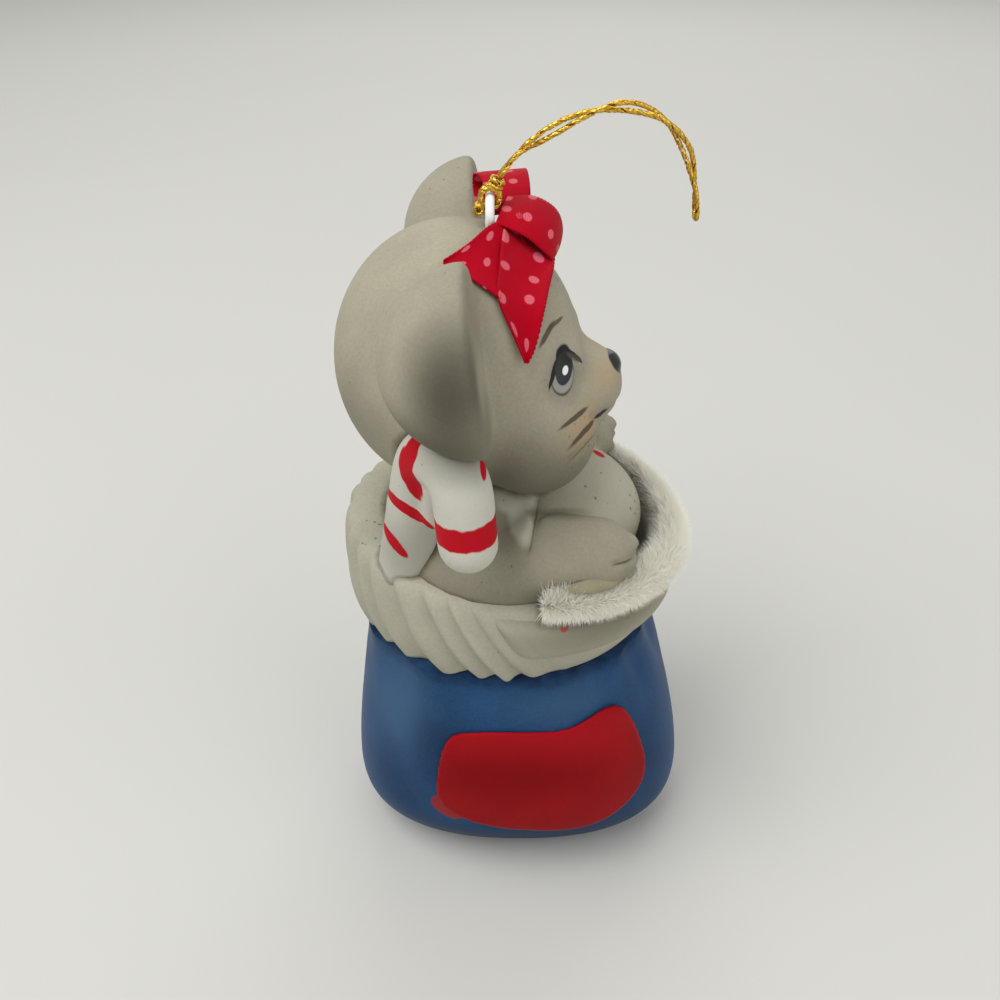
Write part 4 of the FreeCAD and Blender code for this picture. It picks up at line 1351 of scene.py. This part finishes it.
def make_core(form, material):
    """Twisted inside of the pile, too dense to tell its fibres apart."""

    def place(across, along):
        centre, _, out, up = trim_frame(0.004 + 0.992 * along)
        turn = across * math.tau
        rows = 0.5 + 0.5 * math.cos(2 * (turn - twist(along)))
        radius = form.fibre_reach * (0.4 + 0.08 * rows) * min(1, math.sqrt(min(along, 1 - along) / 0.006))
        return centre + (out * math.cos(turn) + up * math.sin(turn)) * radius

    core = settled(closed_ring(sheet(32, 700, place)), "core")
    # The core is darkened evenly: painted shade of the pile's depth, with some dust
    mark_points(core, [CORE_DUST_AND_SHADE] * len(core.vertices))
    finish_piece("trim_core", core, material)


def pile_material(finish):
    """Off-white fibres with painted shade and some dust in their depth."""
    material, tree, shader = new_material("Chenille pile", Roughness=0.9, Specular_IOR_Level=0.2)
    seam = node(tree, "ShaderNodeAttribute", attribute_name="seam").outputs["Fac"]
    clumped = maths(tree, "MULTIPLY", seam, clouds(tree, object_place(tree), 420.0, 3.0))
    dirty = ranged(tree, clumped, 0.15, 0.6)
    tree.links.new(mixed(tree, dirty, finish.pile, finish.grime_and_shade), shader.inputs["Base Color"])
    return material


# Bow


def ribbon_material(finish):
    """Red satin with fine threads and worn pale dots."""
    material, tree, shader = new_material(
        "Satin ribbon", Roughness=0.45, Specular_IOR_Level=0.04, Sheen_Weight=0.04, Sheen_Roughness=0.4
    )
    uv = node(tree, "ShaderNodeUVMap", uv_map="print").outputs[0]
    weave = node(tree, "ShaderNodeMapping", {"Vector": uv, "Scale": (1.0, 5.5, 1.0)}).outputs[0]
    waves = {"Vector": weave, "Scale": 1.2, "Distortion": 1.5, "Detail": 2.0}
    thread = node(tree, "ShaderNodeTexWave", waves, bands_direction="Y").outputs["Fac"]
    cells = {"Vector": uv, "Scale": 0.27, "Randomness": 0.35}
    spots = node(tree, "ShaderNodeTexVoronoi", cells, voronoi_dimensions="2D").outputs["Distance"]
    wear_and_light = ranged(tree, clouds(tree, uv, 4.0, 3.0), 0.2, 0.6, 0.6, 1.0)
    dots = maths(tree, "MULTIPLY", ranged(tree, spots, 0.185, 0.15), wear_and_light)
    dyed = mixed(tree, 1.0, finish.ribbon, ranged(tree, thread, to_low=0.85, to_high=1.08), "MULTIPLY")
    tree.links.new(mixed(tree, dots, dyed, finish.dot), shader.inputs["Base Color"])
    bumped(tree, shader, thread, 0.35, 0.04)
    return material


def ribbon(name, rows, material, width, span, arch, replaces, shift, picots):
    """Strip through rows of near and far edge points in millimetres, with picots on its edges."""
    form = bpy.context.scene.ornament_form
    table = [(share, *near, *far) for share, near, far in rows]
    count = round(span / 0.1)

    def place(across, along):
        values = blended(table, along)
        near, far = Vector(values[:3]), Vector(values[3:])
        later = blended(table, min(along + 0.02, 1))
        sooner = blended(table, max(along - 0.02, 0))
        run = Vector(later[:3]) + Vector(later[3:]) - Vector(sooner[:3]) - Vector(sooner[3:])
        up = (far - near).cross(run)
        up = up.normalized() if up.length > 1e-9 else Vector((0, 0, 1))
        side = (far - near).normalized() if (far - near).length > 1e-6 else Vector((0, 0, 0))
        point = near.lerp(far, across) - up * arch * 4 * across * (1 - across)
        loop = form.picot_rise / MM * abs(math.sin(math.pi * along * span * MM / form.picot_pitch))
        if across < 0.01 and picots[0]:
            point -= side * loop
        if across > 0.99 and picots[1]:
            point += side * loop
        return point * MM

    bm = sheet(20, count, place, (width, span))
    uv = bm.loops.layers.uv["print"]
    for face in bm.faces:
        for corner in face.loops:
            corner[uv].uv += Vector(shift)
    flat = settled(bm, "flat")
    flat.shade_smooth()
    thick = evaluated(flat, ("SOLIDIFY", {"thickness": form.ribbon_thickness, "offset": 0}))
    finish_piece(name, thick, material, replaces=replaces)


# Share along the ribbon, then its near and far edge in millimetres
TAIL_ROWS = (
    (0.00, (-2.4, 1.5, 101.5), (3.5, 1.2, 98.4)),
    (0.13, (-2.6, -1.0, 101.4), (3.4, -1.5, 97.6)),
    (0.25, (-2.95, -4.5, 100.3), (3.1, -4.6, 96.9)),
    (0.50, (-3.3, -8.2, 98.2), (2.5, -7.6, 95.7)),
    (0.72, (-3.4, -11.5, 95.9), (1.8, -10.8, 93.8)),
    (0.90, (-1.7, -13.6, 92.5), (0.8, -13.8, 90.9)),
    (1.00, (-0.34, -15.0, 89.7), (-0.05, -15.0, 89.6)),
)
WING_ROWS = (
    (0.00, (-3.2, -11.6, 96.0), (-2.4, -1.2, 101.7)),
    (0.35, (-5.3, -10.8, 97.2), (-4.6, -3.6, 101.5)),
    (0.70, (-7.4, -9.8, 98.2), (-7.0, -6.4, 100.4)),
    (1.00, (-9.7, -8.8, 99.2), (-9.6, -8.6, 99.4)),
)
FRONT_LOOP_ROWS = (
    (0.00, (-3.7, -2.4, 101.6), (-2.3, 2.4, 103.0)),
    (0.18, (-0.4, -3.6, 100.5), (0.9, 2.9, 102.9)),
    (0.36, (1.7, -3.8, 98.9), (3.6, 3.0, 101.3)),
    (0.54, (2.9, -3.6, 97.5), (4.5, 2.9, 98.8)),
    (0.66, (2.3, -3.2, 96.9), (3.9, 2.7, 97.4)),
    (0.82, (0.3, -2.6, 98.6), (1.2, 2.4, 98.9)),
    (1.00, (-1.2, -1.8, 100.3), (-0.8, 1.8, 100.5)),
)
# Share along the far loop, then its reach from the knot and its height in millimetres
FAR_LOOP_PROFILE = (
    (0.00, 2.2, 102.4),
    (0.20, 4.6, 103.9),
    (0.38, 7.2, 104.7),
    (0.52, 9.2, 103.9),
    (0.62, 9.4, 102.2),
    (0.78, 7.0, 101.0),
    (1.00, 2.2, 101.2),
)


def far_loop_rows():
    """Rows of the far loop, which widens as it leaves the knot."""
    out = Vector((-0.26, 0.966, 0))
    side = Vector((-0.966, -0.26, 0))
    start = Vector((-1.1, 0, 0))
    rows = []
    for share, reach, height in FAR_LOOP_PROFILE:
        half = 2.2 + 0.9 * min(1, max(0, (reach - 2.2) / 4))
        centre = start + out * reach + Vector((0, 0, height))
        rows.append((share, tuple(centre + side * half), tuple(centre - side * half)))
    return tuple(rows)


def mirrored_rows(rows):
    """Rows of the same strip on the other side."""
    return tuple((share, (a[0], -a[1], a[2]), (b[0], -b[1], b[2])) for share, a, b in rows)


# Width of the ribbon, and the knot's centre and halves, in millimetres
RIBBON_WIDTH = 6.2
KNOT_CENTRE = (-1.1, 0, 100.7)
KNOT_HALVES = (1.6, 2.3, 1.6)


def make_bow():
    """The bow's two tails, its wing, its two loops and its knot."""
    satin = ribbon_material(bpy.context.scene.ornament_finish)
    both, outer = (True, True), (False, True)
    # Name, rows, width and length in millimetres, arch across, shift of the print and edges with picots
    for name, rows, width, span, arch, shift, picots in (
        ("near_tail", TAIL_ROWS, RIBBON_WIDTH, 17.5, -0.5, (0.0, 0.0), outer),
        ("far_tail", mirrored_rows(TAIL_ROWS), RIBBON_WIDTH, 17.5, 0.5, (1.3, 2.0), outer),
        ("near_wing", WING_ROWS, 9.0, 9.5, 0.35, (0.7, 1.1), outer),
        ("front_loop", FRONT_LOOP_ROWS, RIBBON_WIDTH, 20.0, 0.25, (2.0, 0.4), both),
        ("far_loop", far_loop_rows(), RIBBON_WIDTH, 22.0, 0.0, (0.4, 3.1), both),
    ):
        ribbon("ribbon_" + name, rows, satin, width, span, arch, ("bow_" + name,), shift, picots)
    bm = bmesh.new()
    ball(bm, KNOT_CENTRE, KNOT_HALVES)
    mesh = cast(bm, 0.2 * MM, 2)
    mesh.uv_layers.new(name="print")
    finish_piece("ribbon_knot", mesh, satin, replaces=("bow_knot",))


# Glue and wire


def make_small_parts():
    """Finishes of the parts whose shape in the frame is already right."""
    finish = bpy.context.scene.ornament_finish
    glue, tree, shader = new_material("Set glue", Roughness=0.5, Specular_IOR_Level=0.2)
    shade = ranged(tree, clouds(tree, object_place(tree), 600.0, 3.0), to_low=0.8, to_high=1.1)
    tree.links.new(mixed(tree, 1.0, finish.glue, shade, "MULTIPLY"), shader.inputs["Base Color"])
    wire, tree, shader = new_material("Steel wire", Metallic=1.0, Base_Color=finish.steel)
    scratches = ranged(tree, clouds(tree, object_place(tree), 900.0, 2.0), to_low=0.3, to_high=0.55)
    tree.links.new(scratches, shader.inputs["Roughness"])
    for name, material in (("glue_bead", glue), ("bow_glue", glue), ("trim_wire", wire)):
        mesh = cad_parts[name].data
        mesh.materials.clear()
        mesh.materials.append(material)


# Stage

# Half the floor's side, then each lamp's name, place and size in metres and its watts
FLOOR_HALF = 3.0
LAMPS = (
    ("key", (-0.35, -0.25, 0.75), 0.6, 5.0),
    ("fill", (0.6, -0.5, 0.5), 0.8, 2.2),
    ("back", (0.1, 0.7, 0.6), 0.8, 2.5),
)
LAMP_AIM = Vector((0, 0, 0.06))
# Lens and sensor, point looked at and distance to it in millimetres, and the tilt down in degrees
LENS = 36.108
SENSOR = 36
CAMERA_AIM = (-3.2, 0, 60)
CAMERA_DISTANCE = 144
CAMERA_TILT = math.radians(35)


def make_stage():
    """Plain pale floor, soft lamps, an even backdrop and the camera."""
    scene = bpy.context.scene
    finish = scene.ornament_finish
    bm = bmesh.new()
    bmesh.ops.create_grid(bm, x_segments=2, y_segments=2, size=FLOOR_HALF)
    floor = bpy.data.objects.new("floor", settled(bm, "floor"))
    scene.collection.objects.link(floor)
    material, tree, shader = new_material("Plain floor", Roughness=0.9, Specular_IOR_Level=0.2)
    shade = ranged(tree, clouds(tree, object_place(tree), 4.0, 2.0), to_low=0.97, to_high=1.03)
    tree.links.new(mixed(tree, 1.0, finish.floor, shade, "MULTIPLY"), shader.inputs["Base Color"])
    floor.data.materials.append(material)
    for name, place, size, watts in LAMPS:
        lamp = bpy.data.lights.new(name, "AREA")
        lamp.size = size
        lamp.energy = watts
        holder = bpy.data.objects.new(name, lamp)
        holder.location = place
        holder.rotation_euler = (LAMP_AIM - Vector(place)).to_track_quat("-Z", "Y").to_euler()
        scene.collection.objects.link(holder)
    world = bpy.data.worlds.new("room")
    world.use_nodes = True
    tree = world.node_tree
    tree.nodes.clear()
    seen = node(tree, "ShaderNodeLightPath").outputs["Is Camera Ray"]
    sky = node(tree, "ShaderNodeBackground", {"Color": mixed(tree, seen, finish.sky, finish.backdrop)})
    node(tree, "ShaderNodeOutputWorld", {"Surface": sky.outputs[0]})
    scene.world = world
    make_camera(scene)


def make_camera(scene):
    """Camera that looks down at the ornament's right side."""
    camera = bpy.data.cameras.new("camera")
    camera.sensor_width = SENSOR
    camera.lens = LENS
    camera.clip_start = 0.005
    camera.clip_end = 20
    holder = bpy.data.objects.new("camera", camera)
    back, rise = CAMERA_DISTANCE * math.cos(CAMERA_TILT), CAMERA_DISTANCE * math.sin(CAMERA_TILT)
    holder.location = mm(*CAMERA_AIM) + mm(0, -back, rise)
    holder.rotation_euler = (math.pi / 2 - CAMERA_TILT, 0, 0)
    scene.collection.objects.link(holder)
    scene.camera = holder
    scene.view_settings.view_transform = "Standard"


# Operators


class PieceOperator:
    """Common part of the operators: each runs its makers once."""

    bl_options = {"REGISTER", "UNDO"}
    makers = ()

    def execute(self, context):
        """Runs the makers in order."""
        for make in self.makers:
            make()
        return {"FINISHED"}


class ORNAMENT_OT_stage(PieceOperator, bpy.types.Operator):
    """Sets up the floor, the lamps and the camera"""

    bl_idname = "ornament.stage"
    bl_label = "Stage"
    makers = (make_stage,)


class ORNAMENT_OT_cord(PieceOperator, bpy.types.Operator):
    """Makes the hanging cord, its hitch and the ring that it is tied to"""

    bl_idname = "ornament.cord"
    bl_label = "Cord"
    makers = (make_cord, make_eye)


class ORNAMENT_OT_sack(PieceOperator, bpy.types.Operator):
    """Makes the sack and its patch"""

    bl_idname = "ornament.sack"
    bl_label = "Sack"
    makers = (make_sack, make_patch)


class ORNAMENT_OT_collar(PieceOperator, bpy.types.Operator):
    """Makes the gathered collar and its hem"""

    bl_idname = "ornament.collar"
    bl_label = "Collar"
    makers = (make_collar, make_hem)


class ORNAMENT_OT_mouse(PieceOperator, bpy.types.Operator):
    """Makes the head with its ears and the body with its arms"""

    bl_idname = "ornament.mouse"
    bl_label = "Mouse"
    makers = (make_head, make_body)


class ORNAMENT_OT_cane(PieceOperator, bpy.types.Operator):
    """Makes the striped cane"""

    bl_idname = "ornament.cane"
    bl_label = "Cane"
    makers = (make_cane,)


class ORNAMENT_OT_trim(PieceOperator, bpy.types.Operator):
    """Makes the pile trim"""

    bl_idname = "ornament.trim"
    bl_label = "Trim"
    makers = (make_trim,)


class ORNAMENT_OT_bow(PieceOperator, bpy.types.Operator):
    """Makes the ribbon bow"""

    bl_idname = "ornament.bow"
    bl_label = "Bow"
    makers = (make_bow,)


class ORNAMENT_OT_small_parts(PieceOperator, bpy.types.Operator):
    """Finishes the glue and the wire"""

    bl_idname = "ornament.small_parts"
    bl_label = "Glue and wire"
    makers = (make_small_parts,)


STEPS = (
    ORNAMENT_OT_stage,
    ORNAMENT_OT_cord,
    ORNAMENT_OT_sack,
    ORNAMENT_OT_collar,
    ORNAMENT_OT_mouse,
    ORNAMENT_OT_cane,
    ORNAMENT_OT_trim,
    ORNAMENT_OT_bow,
    ORNAMENT_OT_small_parts,
)


class ORNAMENT_PT_panel(bpy.types.Panel):
    """Lists the steps, the sizes and the colours"""

    bl_idname = "ORNAMENT_PT_panel"
    bl_label = "Mouse ornament"
    bl_space_type = "VIEW_3D"
    bl_region_type = "UI"
    bl_category = "Ornament"

    def draw(self, context):
        """Lays out a button for each step, then every size and colour."""
        for step in STEPS:
            self.layout.operator(step.bl_idname)
        for group in (context.scene.ornament_form, context.scene.ornament_finish):
            for name in group.__annotations__:
                self.layout.prop(group, name)


CLASSES = (OrnamentForm, OrnamentFinish, *STEPS, ORNAMENT_PT_panel)


def register():
    """Registers the classes and hangs the sizes and colours on the scene."""
    for item in CLASSES:
        bpy.utils.register_class(item)
    bpy.types.Scene.ornament_form = bpy.props.PointerProperty(type=OrnamentForm)
    bpy.types.Scene.ornament_finish = bpy.props.PointerProperty(type=OrnamentFinish)


def unregister():
    """Takes back what register did."""
    del bpy.types.Scene.ornament_finish
    del bpy.types.Scene.ornament_form
    for item in reversed(CLASSES):
        bpy.utils.unregister_class(item)


def main():
    """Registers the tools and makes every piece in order."""
    register()
    for step in STEPS:
        area, name = step.bl_idname.split(".")
        getattr(getattr(bpy.ops, area), name)()


if __name__ == "__main__":
    main()
